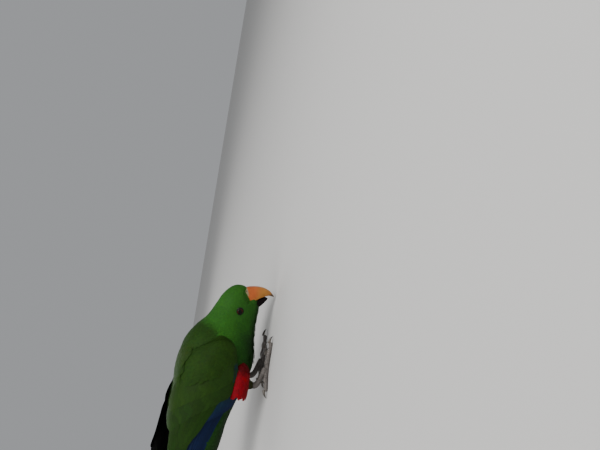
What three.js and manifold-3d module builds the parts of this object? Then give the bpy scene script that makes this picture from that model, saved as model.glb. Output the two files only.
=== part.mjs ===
// A male eclectus parrot at life size, crouched on the floor with its head lowered and turned a little
// to its right, as a still model. Millimetres: +X is the way the bird faces, +Y its left, +Z up.
// Every size below is set out with the floor at Z = 0. The last lines move the whole bird so that the
// origin is the middle of its box at floor level.

import * as THREE from 'three';
import { mergeVertices } from 'three/addons/utils/BufferGeometryUtils.js';
import Module from 'manifold-3d';

const wasm = await Module();
wasm.setup();

// Driving dimensions
const GAP = 0.3; // between neighbouring pieces
const HEAD_PLACE = { x: 75.2, y: -4, z: 47 }; // the point midway between the eyes
const HEAD_TURN = -18; // degrees, to the bird's right
const HEAD_DIP = 34; // degrees, bill down
const EYE_RADIUS = 6.4;
const EYE_DEPTH = 14.4; // from the head's middle plane to the eye's centre
const EYE_OPENING = 4.6; // radius between the lids
const LID_THICKNESS = 0.9;
const VANE_THICKNESS = 0.5;
const TIP_THICKNESS = 0.35;
const TAIL_ROOT = { x: -121, z: 71.5 };
const TAIL_LENGTH = 108;
const TAIL_RISE = 7; // degrees
const FOOT_SPREAD = 18; // from the middle plane to each foot
const LEFT_FOOT_AHEAD = 8;
const LEFT_WING_LIFT = 8.5; // degrees, tip upwards about a point of the arm
const LEFT_WING_DROP = 1.5;
const LEFT_TERTIAL_FLICK = 8; // how far the tips of its innermost feathers stand up
const LEFT_WING_SPREAD = 4; // degrees, tip outwards about the same point
const LEFT_WING_PIVOT = { x: -15, y: 38, z: 92 };

// The body is a row of oval hoops. Each row holds the hoop's top x, y, z, its bottom x, y, z, its half
// width, how square it is (2 is an ellipse), how much wider it is below than above, and its turn in
// degrees.
const BODY_HOOPS = [
  [-118, 0, 83, -118, 0, 62, 13, 2, 0, 0],
  [-108, 0, 90, -110, 0, 54, 16.5, 2, 0, 0],
  [-96, 0, 96, -98, 0, 48.5, 20.5, 2, 0, 0],
  [-82, 0, 102, -84, 0, 45.5, 25, 2.1, 0.02, 0],
  [-64, 0, 107.5, -64, 0, 42, 29.8, 2.2, 0.02, 0],
  [-42, 0, 111.5, -42, 0, 35, 34.5, 2.2, 0.02, 0],
  [-20, 0, 114, -20, 0, 26.5, 37, 2.2, 0.02, 0],
  [0, 0, 114.5, 0, 0, 20, 38, 2.2, 0.02, 0],
  [15, 0, 112.3, 14, 0, 19, 38, 2.2, 0.02, 0],
  [33, -0.5, 106.8, 24, 0.5, 19.7, 37, 2.1, 0, -3],
  [47.2, -1.2, 97.2, 32, 1.8, 20.1, 33, 2.1, 0, -7],
  [60.5, -2.8, 85, 38, 3.8, 20.8, 28.5, 2.1, 0, -12],
];

// Towards the bill the hoops stand square to the head. Each row holds the distance ahead of the eyes,
// the height of the crown and of the throat from eye level, the half width and the squareness.
const HEAD_HOOPS = [
  [-13, 25.6, -41, 24.5, 2.1],
  [-4, 27.2, -33.5, 21.8, 2.1],
  [5, 27.4, -27.8, 19.8, 2.1],
  [12, 26.3, -23.6, 18, 2.1],
  [17.5, 24, -19.5, 15.8, 2.1],
  [21.5, 20.5, -15.5, 13, 2],
  [24.3, 15.8, -11.5, 9.5, 2],
  [25.6, 11, -8, 5.5, 2],
];

// Where the body is parted, as places in the row of hoops
const RUMP_TO_TORSO = 4;
const TORSO_TO_NECK = 8.6;
const NECK_TO_HEAD = 11.3;

// The upper bill from its base to its tip: culmen ahead and up, cutting edge ahead and up, half width
const UPPER_BILL = [
  [21.5, 12.6, 12.5, -6.5, 8.9],
  [27.2, 9.9, 16.6, -6.4, 8.8],
  [32.6, 4.8, 21, -7.4, 8.4],
  [37.4, -1, 25.4, -9.4, 7.4],
  [41.1, -8, 29.9, -12, 6],
  [42.6, -15.5, 34.4, -15.4, 4.2],
  [42.1, -20.4, 38, -19.2, 2.3],
];
const BILL_TIP = [40.9, -24];
const CERE_END = 0.62; // how far along the upper bill's rows the cere reaches

// The lower bill: its upper edge ahead and up, its keel ahead and up, half width
const LOWER_BILL = [
  [12, -8.6, 10, -17, 7.2],
  [18.5, -9.4, 17, -19.6, 7.2],
  [24.5, -11.6, 24, -20.8, 6.2],
  [29.8, -14.8, 30, -21, 4.8],
  [33.2, -17.6, 33.8, -20.6, 2.8],
];

// The folded wing lies on a shell beside the body. Each row holds x, how far out the shell's middle
// line lies, its half width, the height of its middle, its half height, and the heights of the wing's
// lower and upper edges.
const WING_SHELL = [
  [36, 0, 37, 66, 42, 56, 84],
  [24, 0, 38.8, 65, 45, 49, 92],
  [8, 0, 38.9, 66.5, 46.5, 45.5, 102.5],
  [-20, 0, 37.6, 71, 43, 42, 110.5],
  [-42, 0, 35, 74, 39, 44.5, 111],
  [-64, 0, 30, 75.5, 36, 54, 109.5],
  [-96, -1, 22, 79, 29, 67.5, 104],
  [-120, -5, 21, 84, 24, 76, 101.5],
  [-150, -8, 21, 87.5, 22, 84, 99.5],
  [-180, -10, 20, 90.5, 21, 90, 98.3],
  [-206, -12, 19, 93, 20, 94, 98],
];
const WING_FRONT = 33;
const ARM_THICKNESS = 8.1; // of the arm with its small coverts
const ARM_EDGE = 0.9;
const ARM_ROUNDING = 34; // how far the front edge rounds back at the top
const ARM_END = -26; // where the arm ends at its lower edge
const ARM_SLANT = 34; // how much further back it ends at the top
const PRIMARY_COUNT = 7;
const PRIMARY_TIP_X = -203;
const SECONDARY_COUNT = 8; // the last two are the short inner ones
const GREATER_COVERT_COUNT = 6;
const MEDIAN_COVERT_COUNT = 5;
const PRIMARY_COVERT_COUNT = 4;
const ALULA_COUNT = 3;
const COVERT_LEAN = 0.16; // how steeply each covert dips under the next one at its tip

// The tail: pairs of long feathers, and pairs of coverts above and below their roots
const TAIL_PAIRS = 6;
const TAIL_COVERT_PAIRS = 3;
const TAIL_ROOF = 0.012; // how it falls away to the sides, for each millimetre squared
const TAIL_PARTING = 0.6; // from the middle plane to the inner edge of all but the middle pair

// Small helpers
const point = (x, y, z) => new THREE.Vector3(x, y, z);
const radians = THREE.MathUtils.degToRad;
const mix = (from, to, share) => from + (to - from) * share;
const ease = (share) => THREE.MathUtils.smoothstep(share, 0, 1);

// A smooth curve through the rows of a table, read at a place that may lie between two rows
function readRows(rows, place) {
  const last = rows.length - 1;
  const at = Math.min(Math.max(place, 0), last);
  const i = Math.min(Math.floor(at), last - 1);
  const t = at - i;
  const [a, b, c, d] = [i - 1, i, i + 1, i + 2].map((k) => rows[Math.min(Math.max(k, 0), last)]);
  return b.map((value, k) => {
    const slopeIn = (c[k] - a[k]) / 2;
    const slopeOut = (d[k] - value) / 2;
    const rise = c[k] - value;
    const bend = slopeIn + slopeOut - 2 * rise;
    return value + t * (slopeIn + t * (rise - slopeIn - bend + t * bend));
  });
}

// The same for a table whose first column falls, read at a value of that column
function readAt(rows, x) {
  let i = 0;
  while (i < rows.length - 2 && rows[i + 1][0] > x) i += 1;
  const share = (rows[i][0] - x) / (rows[i][0] - rows[i + 1][0]);
  return readRows(rows, i + share);
}

function signedVolume(points, faces) {
  let sum = 0;
  for (const [a, b, c] of faces) {
    sum += points[a].dot(points[b].clone().cross(points[c]));
  }
  return sum;
}

// A closed solid from shared points and triangles, turned to face outwards
function solidFrom(points, faces) {
  const outward = signedVolume(points, faces) > 0;
  const triVerts = new Uint32Array(faces.flatMap(([a, b, c]) => (outward ? [a, b, c] : [a, c, b])));
  const vertProperties = new Float32Array(points.flatMap((p) => [p.x, p.y, p.z]));
  return new wasm.Manifold(new wasm.Mesh({ numProp: 3, vertProperties, triVerts }));
}

function solidOf(geometry) {
  const bare = geometry.index ? geometry.toNonIndexed() : geometry.clone();
  bare.deleteAttribute('normal');
  bare.deleteAttribute('uv');
  const merged = mergeVertices(bare, 1e-4);
  return new wasm.Manifold(new wasm.Mesh({
    numProp: 3,
    vertProperties: new Float32Array(merged.attributes.position.array),
    triVerts: new Uint32Array(merged.index.array),
  }));
}

function join(solids) {
  return solids.reduce((sum, solid) => sum.add(solid));
}

// A union or a cut can leave a loose scrap or a sealed hollow: only the largest body is kept
function largestBody(solid) {
  const bodies = solid.decompose();
  return bodies.reduce((best, body) => (body.volume() > best.volume() ? body : best));
}

function geometryOf(solid) {
  const mesh = solid.getMesh();
  const geometry = new THREE.BufferGeometry();
  geometry.setAttribute('position', new THREE.BufferAttribute(new Float32Array(mesh.vertProperties), 3));
  geometry.setIndex(new THREE.BufferAttribute(new Uint32Array(mesh.triVerts), 1));
  return geometry;
}

// Rings of points joined into one closed form. A ring of one point is a tip, any other end is capped.
function loft(rings) {
  const points = rings.flat();
  const faces = [];
  const starts = [];
  rings.reduce((start, ring) => {
    starts.push(start);
    return start + ring.length;
  }, 0);
  for (let r = 0; r + 1 < rings.length; r += 1) {
    const sides = Math.max(rings[r].length, rings[r + 1].length);
    for (let k = 0; k < sides; k += 1) {
      const next = (k + 1) % sides;
      const a = starts[r] + (rings[r].length > 1 ? k : 0);
      const b = starts[r] + (rings[r].length > 1 ? next : 0);
      const c = starts[r + 1] + (rings[r + 1].length > 1 ? next : 0);
      const d = starts[r + 1] + (rings[r + 1].length > 1 ? k : 0);
      if (a !== b) faces.push([a, b, c]);
      if (c !== d) faces.push([a, c, d]);
    }
  }
  const cap = (ring, start, flipped) => {
    if (ring.length < 2) return;
    const middle = points.length;
    points.push(ring.reduce((sum, p) => sum.add(p), point(0, 0, 0)).divideScalar(ring.length));
    ring.forEach((p, k) => {
      const next = (k + 1) % ring.length;
      faces.push(flipped ? [middle, start + next, start + k] : [middle, start + k, start + next]);
    });
  };
  cap(rings[0], starts[0], true);
  cap(rings.at(-1), starts.at(-1), false);
  return solidFrom(points, faces);
}

// A thin plate over a grid of places, each with its outward direction, split alike on both faces
function plate(grid, thicknesses) {
  const rows = grid.length;
  const columns = grid[0].length;
  const points = [];
  for (const half of [0.5, -0.5]) {
    grid.forEach((row, i) => row.forEach(({ at, out }) => {
      points.push(at.clone().addScaledVector(out, half * thicknesses[i]));
    }));
  }
  const under = rows * columns;
  const index = (i, j) => i * columns + j;
  const faces = [];
  for (let i = 0; i + 1 < rows; i += 1) {
    for (let j = 0; j + 1 < columns; j += 1) {
      const [a, b, c, d] = [index(i, j), index(i, j + 1), index(i + 1, j + 1), index(i + 1, j)];
      faces.push([a, b, c], [a, c, d]);
      faces.push([under + a, under + c, under + b], [under + a, under + d, under + c]);
    }
  }
  const rim = [];
  for (let j = 0; j + 1 < columns; j += 1) rim.push([index(0, j + 1), index(0, j)]);
  for (let i = 0; i + 1 < rows; i += 1) rim.push([index(i, 0), index(i + 1, 0)]);
  for (let j = 0; j + 1 < columns; j += 1) rim.push([index(rows - 1, j), index(rows - 1, j + 1)]);
  for (let i = 0; i + 1 < rows; i += 1) rim.push([index(i + 1, columns - 1), index(i, columns - 1)]);
  for (const [a, b] of rim) faces.push([a, b, under + b], [a, under + b, under + a]);
  return solidFrom(points, faces);
}

// A round tube along rows of x, y, z and radius
function tube(rows, sides) {
  const centres = rows.map(([x, y, z]) => point(x, y, z));
  const rings = rows.map((row, i) => {
    const before = centres[Math.max(i - 1, 0)];
    const after = centres[Math.min(i + 1, rows.length - 1)];
    const along = after.clone().sub(before).normalize();
    const side = point(0, 0, 1).cross(along);
    if (side.length() < 0.2) side.set(0, 1, 0);
    side.normalize();
    const up = along.clone().cross(side);
    const ring = [];
    for (let k = 0; k < sides; k += 1) {
      const angle = (2 * Math.PI * (k + 0.5)) / sides;
      ring.push(centres[i].clone()
        .addScaledVector(side, row[3] * Math.cos(angle))
        .addScaledVector(up, row[3] * Math.sin(angle)));
    }
    return ring;
  });
  return loft(rings);
}

// The head's own directions
const turn = radians(HEAD_TURN);
const dip = radians(HEAD_DIP);
const AHEAD = point(Math.cos(dip) * Math.cos(turn), Math.cos(dip) * Math.sin(turn), -Math.sin(dip));
const LEFT = point(-Math.sin(turn), Math.cos(turn), 0);
const UP = AHEAD.clone().cross(LEFT);

function headPoint(ahead, left, up) {
  return point(HEAD_PLACE.x, HEAD_PLACE.y, HEAD_PLACE.z)
    .addScaledVector(AHEAD, ahead)
    .addScaledVector(LEFT, left)
    .addScaledVector(UP, up);
}

// The hoops of head, neck, torso and rump in one row
const HOOPS = [
  ...BODY_HOOPS,
  ...HEAD_HOOPS.map(([ahead, crown, throat, half, square]) => [
    ...headPoint(ahead, 0, crown).toArray(),
    ...headPoint(ahead, 0, throat).toArray(),
    half, square, 0, HEAD_TURN,
  ]),
];
const BODY_SIDES = 24;

function hoopRing(place, grow = 0, shift = 0) {
  const row = readRows(HOOPS, place);
  const top = point(...row.slice(0, 3));
  const bottom = point(...row.slice(3, 6));
  const [half, square, low, degrees] = row.slice(6);
  const side = point(-Math.sin(radians(degrees)), Math.cos(radians(degrees)), 0);
  const up = top.clone().sub(bottom).normalize();
  const tall = top.distanceTo(bottom) / 2 + grow;
  const middle = top.clone().add(bottom).multiplyScalar(0.5).addScaledVector(side.clone().cross(up), shift);
  const bulge = (value) => Math.sign(value) * Math.abs(value) ** (2 / square);
  const ring = [];
  for (let k = 0; k < BODY_SIDES; k += 1) {
    const angle = (2 * Math.PI * k) / BODY_SIDES;
    const wide = (half + grow) * (1 - low * Math.sin(angle));
    ring.push(middle.clone()
      .addScaledVector(side, wide * bulge(Math.cos(angle)))
      .addScaledVector(up, tall * bulge(Math.sin(angle))));
  }
  return ring;
}

// One length of the body, from one place in the row of hoops to another
function bodyLength(from, to, steps, grow = 0) {
  const startShift = from > 0 ? GAP - grow : -grow;
  const rings = [];
  for (let i = 0; i <= steps; i += 1) {
    const place = mix(from, to, i / steps);
    let shift = 0;
    if (i === 0) shift = startShift;
    if (i === steps) shift = grow;
    rings.push(hoopRing(place, grow, shift));
  }
  return loft(rings);
}

const rumpLength = (grow = 0) => bodyLength(0, RUMP_TO_TORSO, 6, grow);
const torsoLength = (grow = 0) => bodyLength(RUMP_TO_TORSO, TORSO_TO_NECK, 8, grow);
const neckLength = (grow = 0) => bodyLength(TORSO_TO_NECK, NECK_TO_HEAD, 5, grow);

// The bill: hoops with a round back and a nearly flat underside
function billRing([topAhead, topUp, edgeAhead, edgeUp, half], grow, sides = 14) {
  const edge = headPoint(edgeAhead, 0, edgeUp);
  const back = headPoint(topAhead, 0, topUp).sub(edge);
  const tall = back.length() + grow;
  back.normalize();
  const ring = [];
  for (let k = 0; k < sides; k += 1) {
    const angle = (2 * Math.PI * k) / sides;
    const lift = Math.sin(angle) > 0 ? tall * Math.sin(angle) : (0.1 * tall + grow) * Math.sin(angle);
    ring.push(edge.clone()
      .addScaledVector(LEFT, (half + grow) * Math.cos(angle))
      .addScaledVector(back, lift));
  }
  return ring;
}

function upperBill(from, grow = 0) {
  const last = UPPER_BILL.length - 1;
  const steps = 9;
  const rings = [];
  for (let i = 0; i <= steps; i += 1) {
    rings.push(billRing(readRows(UPPER_BILL, mix(from, last, i / steps)), grow));
  }
  rings.push([headPoint(BILL_TIP[0], 0, BILL_TIP[1] - grow)]);
  return loft(rings);
}

function cere(grow = 0) {
  const rings = [];
  const steps = 2;
  for (let i = 0; i <= steps; i += 1) {
    const row = readRows(UPPER_BILL, mix(0, CERE_END, i / steps));
    rings.push(billRing(row, grow + mix(0.9, 0.2, i / steps)));
  }
  return loft(rings);
}

function lowerBill(grow = 0) {
  const last = LOWER_BILL.length - 1;
  const steps = 6;
  const rings = [];
  for (let i = 0; i <= steps; i += 1) {
    const [rimAhead, rimUp, keelAhead, keelUp, half] = readRows(LOWER_BILL, mix(0, last, i / steps));
    rings.push(billRing([keelAhead, keelUp, rimAhead, rimUp, half], grow, 12));
  }
  return loft(rings);
}

// Turns a solid made about the origin, with its axis along +Z, to look out of one side of the head
function besideEye(geometry, side, depth) {
  const axis = LEFT.clone().multiplyScalar(side);
  const turned = new THREE.Quaternion().setFromUnitVectors(point(0, 0, 1), axis);
  const centre = headPoint(0, side * depth, 0);
  return solidOf(geometry.applyQuaternion(turned).translate(centre.x, centre.y, centre.z));
}

function headSolid() {
  let head = bodyLength(NECK_TO_HEAD, HOOPS.length - 1, 12);
  const openingDepth = EYE_DEPTH + Math.sqrt(EYE_RADIUS ** 2 - EYE_OPENING ** 2);
  for (const side of [1, -1]) {
    const lid = new THREE.TorusGeometry(EYE_OPENING + LID_THICKNESS / 2, LID_THICKNESS, 5, 14);
    head = head.add(besideEye(lid, side, openingDepth + 1.2));
    const socket = new THREE.IcosahedronGeometry(EYE_RADIUS + 2 * GAP, 1);
    head = head.subtract(besideEye(socket, side, EYE_DEPTH));
    const opening = new THREE.CylinderGeometry(EYE_OPENING, EYE_OPENING, 12, 14);
    head = head.subtract(besideEye(opening.rotateX(Math.PI / 2), side, openingDepth + 5.5));
  }
  return head.subtract(upperBill(0, GAP)).subtract(cere(GAP)).subtract(lowerBill(GAP));
}

// The nostrils are shallow pits near the top of the cere
function cereSolid() {
  let band = cere().subtract(upperBill(CERE_END, GAP));
  for (const side of [1, -1]) {
    const pit = new THREE.CylinderGeometry(1, 0.8, 3, 8);
    const place = headPoint(23.6, side * 4.6, 10.4);
    band = band.subtract(solidOf(pit.translate(place.x, place.y, place.z)));
  }
  return band;
}

// A place on the wing's shell: x along the bird, share up the wing from its lower edge, arc millimetres
// further up, and height above the shell
function onShell(x, share, arc, height) {
  const [, inset, wide, middle, tall, lower, upper] = readAt(WING_SHELL, x);
  const angleOf = (z) => Math.asin(THREE.MathUtils.clamp((z - middle) / tall, -0.98, 0.98));
  const angle = mix(angleOf(lower), angleOf(upper), share) + (2 * arc) / (wide + tall);
  const out = point(0, Math.cos(angle) / wide, Math.sin(angle) / tall).normalize();
  const at = point(x, inset + wide * Math.cos(angle), middle + tall * Math.sin(angle));
  return { at: at.addScaledVector(out, height), out };
}

// Sets a place on the shell at the right or the left wing, the left one being lifted off the back
const lift = new THREE.Quaternion().setFromAxisAngle(point(0, 1, 0), radians(LEFT_WING_LIFT));
const spread = new THREE.Quaternion().setFromAxisAngle(point(0, 0, 1), radians(-LEFT_WING_SPREAD));
const leftWingTurn = spread.multiply(lift);
const pivot = point(LEFT_WING_PIVOT.x, LEFT_WING_PIVOT.y, LEFT_WING_PIVOT.z);

function setWing(side, { at, out }) {
  if (side < 0) {
    return { at: point(at.x, -at.y, at.z), out: point(out.x, -out.y, out.z) };
  }
  return {
    at: at.clone().sub(pivot).applyQuaternion(leftWingTurn).add(pivot).add(point(0, 0, -LEFT_WING_DROP)),
    out: out.clone().applyQuaternion(leftWingTurn),
  };
}

// The arm with its small coverts, one smooth form that the long feathers grow from
function wingArm(side) {
  const rows = 8;
  const columns = 7;
  const grid = [];
  for (let i = 0; i < rows; i += 1) {
    const back = i / (rows - 1);
    const row = [];
    for (let j = 0; j < columns; j += 1) {
      const share = j / (columns - 1);
      const x = mix(WING_FRONT - ARM_ROUNDING * (share - 0.3) ** 2, ARM_END - ARM_SLANT * share, back);
      const crown = Math.sin(Math.PI * back ** 0.75) ** 0.55
        * Math.sin(Math.PI * mix(0.04, 0.96, share)) ** 0.4;
      const outer = setWing(side, onShell(x, share, 0, ARM_EDGE + ARM_THICKNESS * crown)).at;
      const inner = setWing(side, onShell(x, share, 0, -ARM_EDGE)).at;
      row.push({ at: outer.clone().add(inner).multiplyScalar(0.5), out: outer.clone().sub(inner) });
    }
    grid.push(row);
  }
  return plate(grid, new Array(rows).fill(1));
}

// The room that the front half of a wing takes, which the leg keeps clear of
function wingRoom(side) {
  const stations = [WING_FRONT + 3, 15, -10, -40, -70, -100];
  const shares = [-0.03, 0.15, 0.4, 0.7, 1];
  const grid = stations.map((x) => shares.map((share) => setWing(side, onShell(x, share, 0, 4))));
  return plate(grid, new Array(stations.length).fill(17));
}

// One feather of the wing, from its root to its tip in x and in share of the wing's height. It rises
// out of the arm to its own height above the shell, and leans so that the next one lies over it.
function wingVane(side, plan) {
  const grid = plan.stops.map(([t, widthShare]) => [-0.5, 0, 0.5].map((across) => {
    const x = mix(plan.rootX, plan.tipX, t);
    const share = mix(plan.rootShare, plan.tipShare, t);
    const arc = across * plan.width * widthShare;
    const height = mix(plan.rootHeight, plan.height, ease(t / plan.settle)) + (plan.flick ?? 0) * t ** 4;
    return setWing(side, onShell(x, share, arc, height - arc * mix(0.5, 1, t) * plan.lean));
  }));
  return plate(grid, plan.stops.map(([t]) => (t < 1 ? VANE_THICKNESS : TIP_THICKNESS)));
}

// Rows of a vane from root to tip: how far along, and the share of its full width
const LONG_STOPS = [[0, 0.4], [0.3, 0.92], [0.62, 1], [0.88, 0.78], [1, 0.26]];
const SHORT_STOPS = [[0, 0.45], [0.4, 1], [0.82, 0.85], [1, 0.3]];
const TAIL_STOPS = [[0, 0.6], [0.35, 0.9], [0.75, 1], [0.94, 0.86], [1, 0.5]];

// The feathers of a wing, tier by tier. Each tier counts up from the wing's lower edge.
function wingPlans(side) {
  const plans = [];
  const tier = (count, planOf) => {
    for (let i = 0; i < count; i += 1) plans.push(planOf(i / (count - 1), i));
  };
  // The third primary from the edge is the longest
  tier(PRIMARY_COUNT, (up, i) => ({
    rootX: mix(4, -16, up),
    tipX: PRIMARY_TIP_X + (i < 2 ? 5 : 2.4) * (i - 2) ** 2,
    rootShare: mix(0.06, 0.22, up),
    tipShare: mix(0.2, 0.8, up),
    rootHeight: mix(0.6, 2.6, up),
    height: mix(0.4, 3.6, up),
    settle: 0.4,
    lean: 0.36,
    width: 12.5,
    stops: LONG_STOPS,
  }));
  tier(SECONDARY_COUNT, (up, i) => ({
    rootX: mix(8, -38, up),
    tipX: i < SECONDARY_COUNT - 2 ? mix(-103, -122, up) : mix(-120, -112, i - SECONDARY_COUNT + 2),
    flick: side > 0 && i >= SECONDARY_COUNT - 2 ? LEFT_TERTIAL_FLICK : 0,
    rootShare: mix(0.31, 0.87, up),
    tipShare: mix(0.38, 0.9, up),
    rootHeight: mix(3, 4, up),
    height: mix(6.9, 7.9, up),
    settle: 0.4,
    lean: 0.26,
    width: mix(15, 17, up),
    stops: LONG_STOPS,
  }));
  tier(GREATER_COVERT_COUNT, (up) => ({
    rootX: mix(14, -26, up),
    tipX: mix(-38, -72, up),
    rootShare: mix(0.31, 0.85, up),
    tipShare: mix(0.35, 0.88, up),
    rootHeight: mix(5, 5.5, up),
    height: mix(8.9, 9.8, up),
    settle: 0.7,
    lean: COVERT_LEAN,
    width: 14,
    stops: SHORT_STOPS,
  }));
  tier(MEDIAN_COVERT_COUNT, (up) => ({
    rootX: mix(20, -10, up),
    tipX: mix(-14, -46, up),
    rootShare: mix(0.32, 0.82, up),
    tipShare: mix(0.34, 0.85, up),
    rootHeight: mix(6.5, 6.8, up),
    height: mix(10.6, 11.4, up),
    settle: 0.7,
    lean: COVERT_LEAN,
    width: 14,
    stops: SHORT_STOPS,
  }));
  tier(PRIMARY_COVERT_COUNT, (up) => ({
    rootX: mix(12, -4, up),
    tipX: mix(-46, -58, up),
    rootShare: mix(0.06, 0.24, up),
    tipShare: mix(0.07, 0.27, up),
    rootHeight: mix(2.5, 3.5, up),
    height: mix(4.2, 6.1, up),
    settle: 0.7,
    lean: COVERT_LEAN,
    width: 9,
    stops: SHORT_STOPS,
  }));
  tier(ALULA_COUNT, (up) => ({
    rootX: mix(22, 17, up),
    tipX: mix(-20, -10, up),
    rootShare: mix(0.08, 0.2, up),
    tipShare: mix(0.08, 0.2, up),
    rootHeight: 3,
    height: mix(5.9, 7.3, up),
    settle: 0.7,
    lean: COVERT_LEAN,
    width: 8,
    stops: SHORT_STOPS,
  }));
  return plans;
}

function wingSolid(side) {
  return join([wingArm(side), ...wingPlans(side).map((plan) => wingVane(side, plan))]);
}

// A place in the tail: millimetres back from its root, to the left, and up from its middle plane
const rise = radians(TAIL_RISE);

function tailPoint(back, left, up) {
  return point(
    TAIL_ROOT.x - back * Math.cos(rise) + up * Math.sin(rise),
    left,
    TAIL_ROOT.z + back * Math.sin(rise) + up * Math.cos(rise),
  );
}

// The roof of the tail falls away to both sides
function tailVane(plan, stops) {
  const grid = stops.map(([t, widthShare]) => {
    const back = mix(plan.rootBack, plan.tipBack, t);
    const centre = plan.side * mix(plan.rootOut, plan.tipOut, t);
    const half = (plan.width * widthShare) / 2;
    const inner = Math.min(half, plan.crosses ? half : Math.abs(centre) - TAIL_PARTING);
    const edges = [centre - plan.side * inner, centre, centre + plan.side * half];
    const height = mix(plan.rootHeight, plan.height, ease(t / plan.settle));
    return edges.map((left) => ({
      at: tailPoint(back, left, height - TAIL_ROOF * left ** 2),
      out: point(Math.sin(rise), 2 * TAIL_ROOF * left, Math.cos(rise)).normalize(),
    }));
  });
  const thicknesses = stops.map(([t]) => (t < 1 ? VANE_THICKNESS : TIP_THICKNESS));
  return plate(grid, thicknesses);
}

// Points round an ellipse, across and up
function ellipse(sides, wide, tall) {
  const ring = [];
  for (let k = 0; k < sides; k += 1) {
    const angle = (2 * Math.PI * k) / sides;
    ring.push([wide * Math.cos(angle), tall * Math.sin(angle)]);
  }
  return ring;
}

// The root of the tail, face to face with the rump's end
function tailRoot() {
  const sides = 14;
  const rings = [[6, 12.5, 5], [15, 12, 2.8]].map(([back, wide, tall]) => (
    ellipse(sides, wide, tall).map(([left, up]) => tailPoint(back, left, up))
  ));
  const face = BODY_HOOPS[0][0] - GAP;
  const start = ellipse(sides, 12, 6.2).map(([left, up]) => point(face, left, TAIL_ROOT.z + up));
  return loft([start, ...rings]);
}

// The middle pair lies on top and each pair outwards a little lower
function tailSolid() {
  const pieces = [tailRoot()];
  for (const side of [1, -1]) {
    for (let i = 0; i < TAIL_PAIRS; i += 1) {
      const out = i / (TAIL_PAIRS - 1);
      pieces.push(tailVane({
        side,
        crosses: i === 0,
        rootBack: 3,
        tipBack: TAIL_LENGTH - 7 * out ** 2,
        rootOut: mix(2.5, 7.5, out),
        tipOut: mix(3.4, 17.5, out),
        width: 17,
        rootHeight: mix(2, -2, out),
        height: 2.6 - 0.98 * i + (i === 0 && side > 0 ? 1 : 0),
        settle: 0.3,
      }, TAIL_STOPS));
    }
  }
  return join(pieces);
}

// The rump carries the coverts above and below the tail's root
function rumpSolid() {
  const pieces = [rumpLength()];
  for (const side of [1, -1]) {
    for (let i = 0; i < TAIL_COVERT_PAIRS; i += 1) {
      const out = (i + 0.5) / TAIL_COVERT_PAIRS;
      const shared = {
        side,
        crosses: false,
        rootBack: -14,
        rootOut: mix(1.5, 9, out),
        tipOut: mix(3, 13, out),
        width: 11,
        settle: 0.75,
      };
      const above = { tipBack: mix(40, 26, out), rootHeight: 9.4, height: 5.8 - 0.8 * i };
      const below = { tipBack: mix(62, 40, out), rootHeight: -7.9, height: -7.6 + 0.8 * i };
      pieces.push(tailVane({ ...shared, ...above }, SHORT_STOPS));
      pieces.push(tailVane({ ...shared, ...below }, SHORT_STOPS));
    }
  }
  return join(pieces);
}

// The flank's puff of feathers over the leg: centre x, sideways, z and radius
const FLANK = [
  [9, 26, 35, 5],
  [2, 27, 35, 10],
  [-8, 27.5, 35.5, 12],
  [-20, 27, 36.5, 12],
  [-30, 25.5, 38.5, 9],
  [-37, 24, 41, 4],
];

// The feathered leg, from inside the flank down to the heel
const THIGH = [
  [-13, 23, 38, 9],
  [-15.5, 21, 30, 8.5],
  [-18, 18.5, 23, 5.6],
  [-18, 18.5, 19.6, 4.4],
];

function thighSolid(side) {
  const ahead = side > 0 ? LEFT_FOOT_AHEAD : 0;
  const place = (rows, shift) => rows.map(([x, out, z, radius]) => [x + shift, side * out, z, radius]);
  return tube(place(FLANK, 0), 12).add(tube(place(THIGH, ahead), 10));
}

// The shank, from the heel to the ball of the foot: ahead, outwards, z and radius
const SHANK = [
  [-18, 0.5, 19.3, 3.7],
  [-18, 0.5, 15.4, 3.9],
  [-14, 0, 11.2, 3.4],
  [-6, 0, 8.2, 3.3],
  [1, 0, 5.2, 3.8],
  [4, 0, 4.6, 3],
];
const TOES = [
  { name: 'inner_front', heading: -24, length: 22, radius: 3 },
  { name: 'outer_front', heading: 9, length: 36, radius: 3.1 },
  { name: 'outer_back', heading: 158, length: 25, radius: 3 },
  { name: 'inner_back', heading: 205, length: 16, radius: 2.7 },
];
const TOE_PAD_SPACING = 11;
const CLAW_BEND = radians(62);
const CLAW_LENGTH = 11;
const CLAW_START = 0.15; // radians below level at which a claw sets out
const CLAW_TOP = 4.6; // height of its centre there

// A place by its distance ahead of and outwards from the ball of one foot
function footPoint(side, ahead, out, z) {
  return point(ahead + (side > 0 ? LEFT_FOOT_AHEAD : 0), side * (FOOT_SPREAD + out), z);
}

function toeTube(side, { heading, length, radius }) {
  const steps = 6;
  const rows = [];
  for (let i = 0; i <= steps; i += 1) {
    const t = i / steps;
    const pads = 1 + 0.1 * Math.cos((2 * Math.PI * t * length) / TOE_PAD_SPACING);
    const thick = mix(radius, radius * 0.72, t) * pads;
    const z = thick * 0.82 + 1.6 * Math.sin(Math.PI * t) * (1 - t);
    const along = t * length;
    const at = footPoint(side, along * Math.cos(radians(heading)), along * Math.sin(radians(heading)), z);
    rows.push([...at.toArray(), thick]);
  }
  return tube(rows, 8);
}

function footSolid(side) {
  const shank = SHANK.map(([x, out, z, radius]) => [...footPoint(side, x, out, z).toArray(), radius]);
  const floor = new THREE.BoxGeometry(200, 200, 20).translate(0, 0, -10);
  return join([tube(shank, 8), ...TOES.map((toe) => toeTube(side, toe))]).subtract(solidOf(floor));
}

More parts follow.
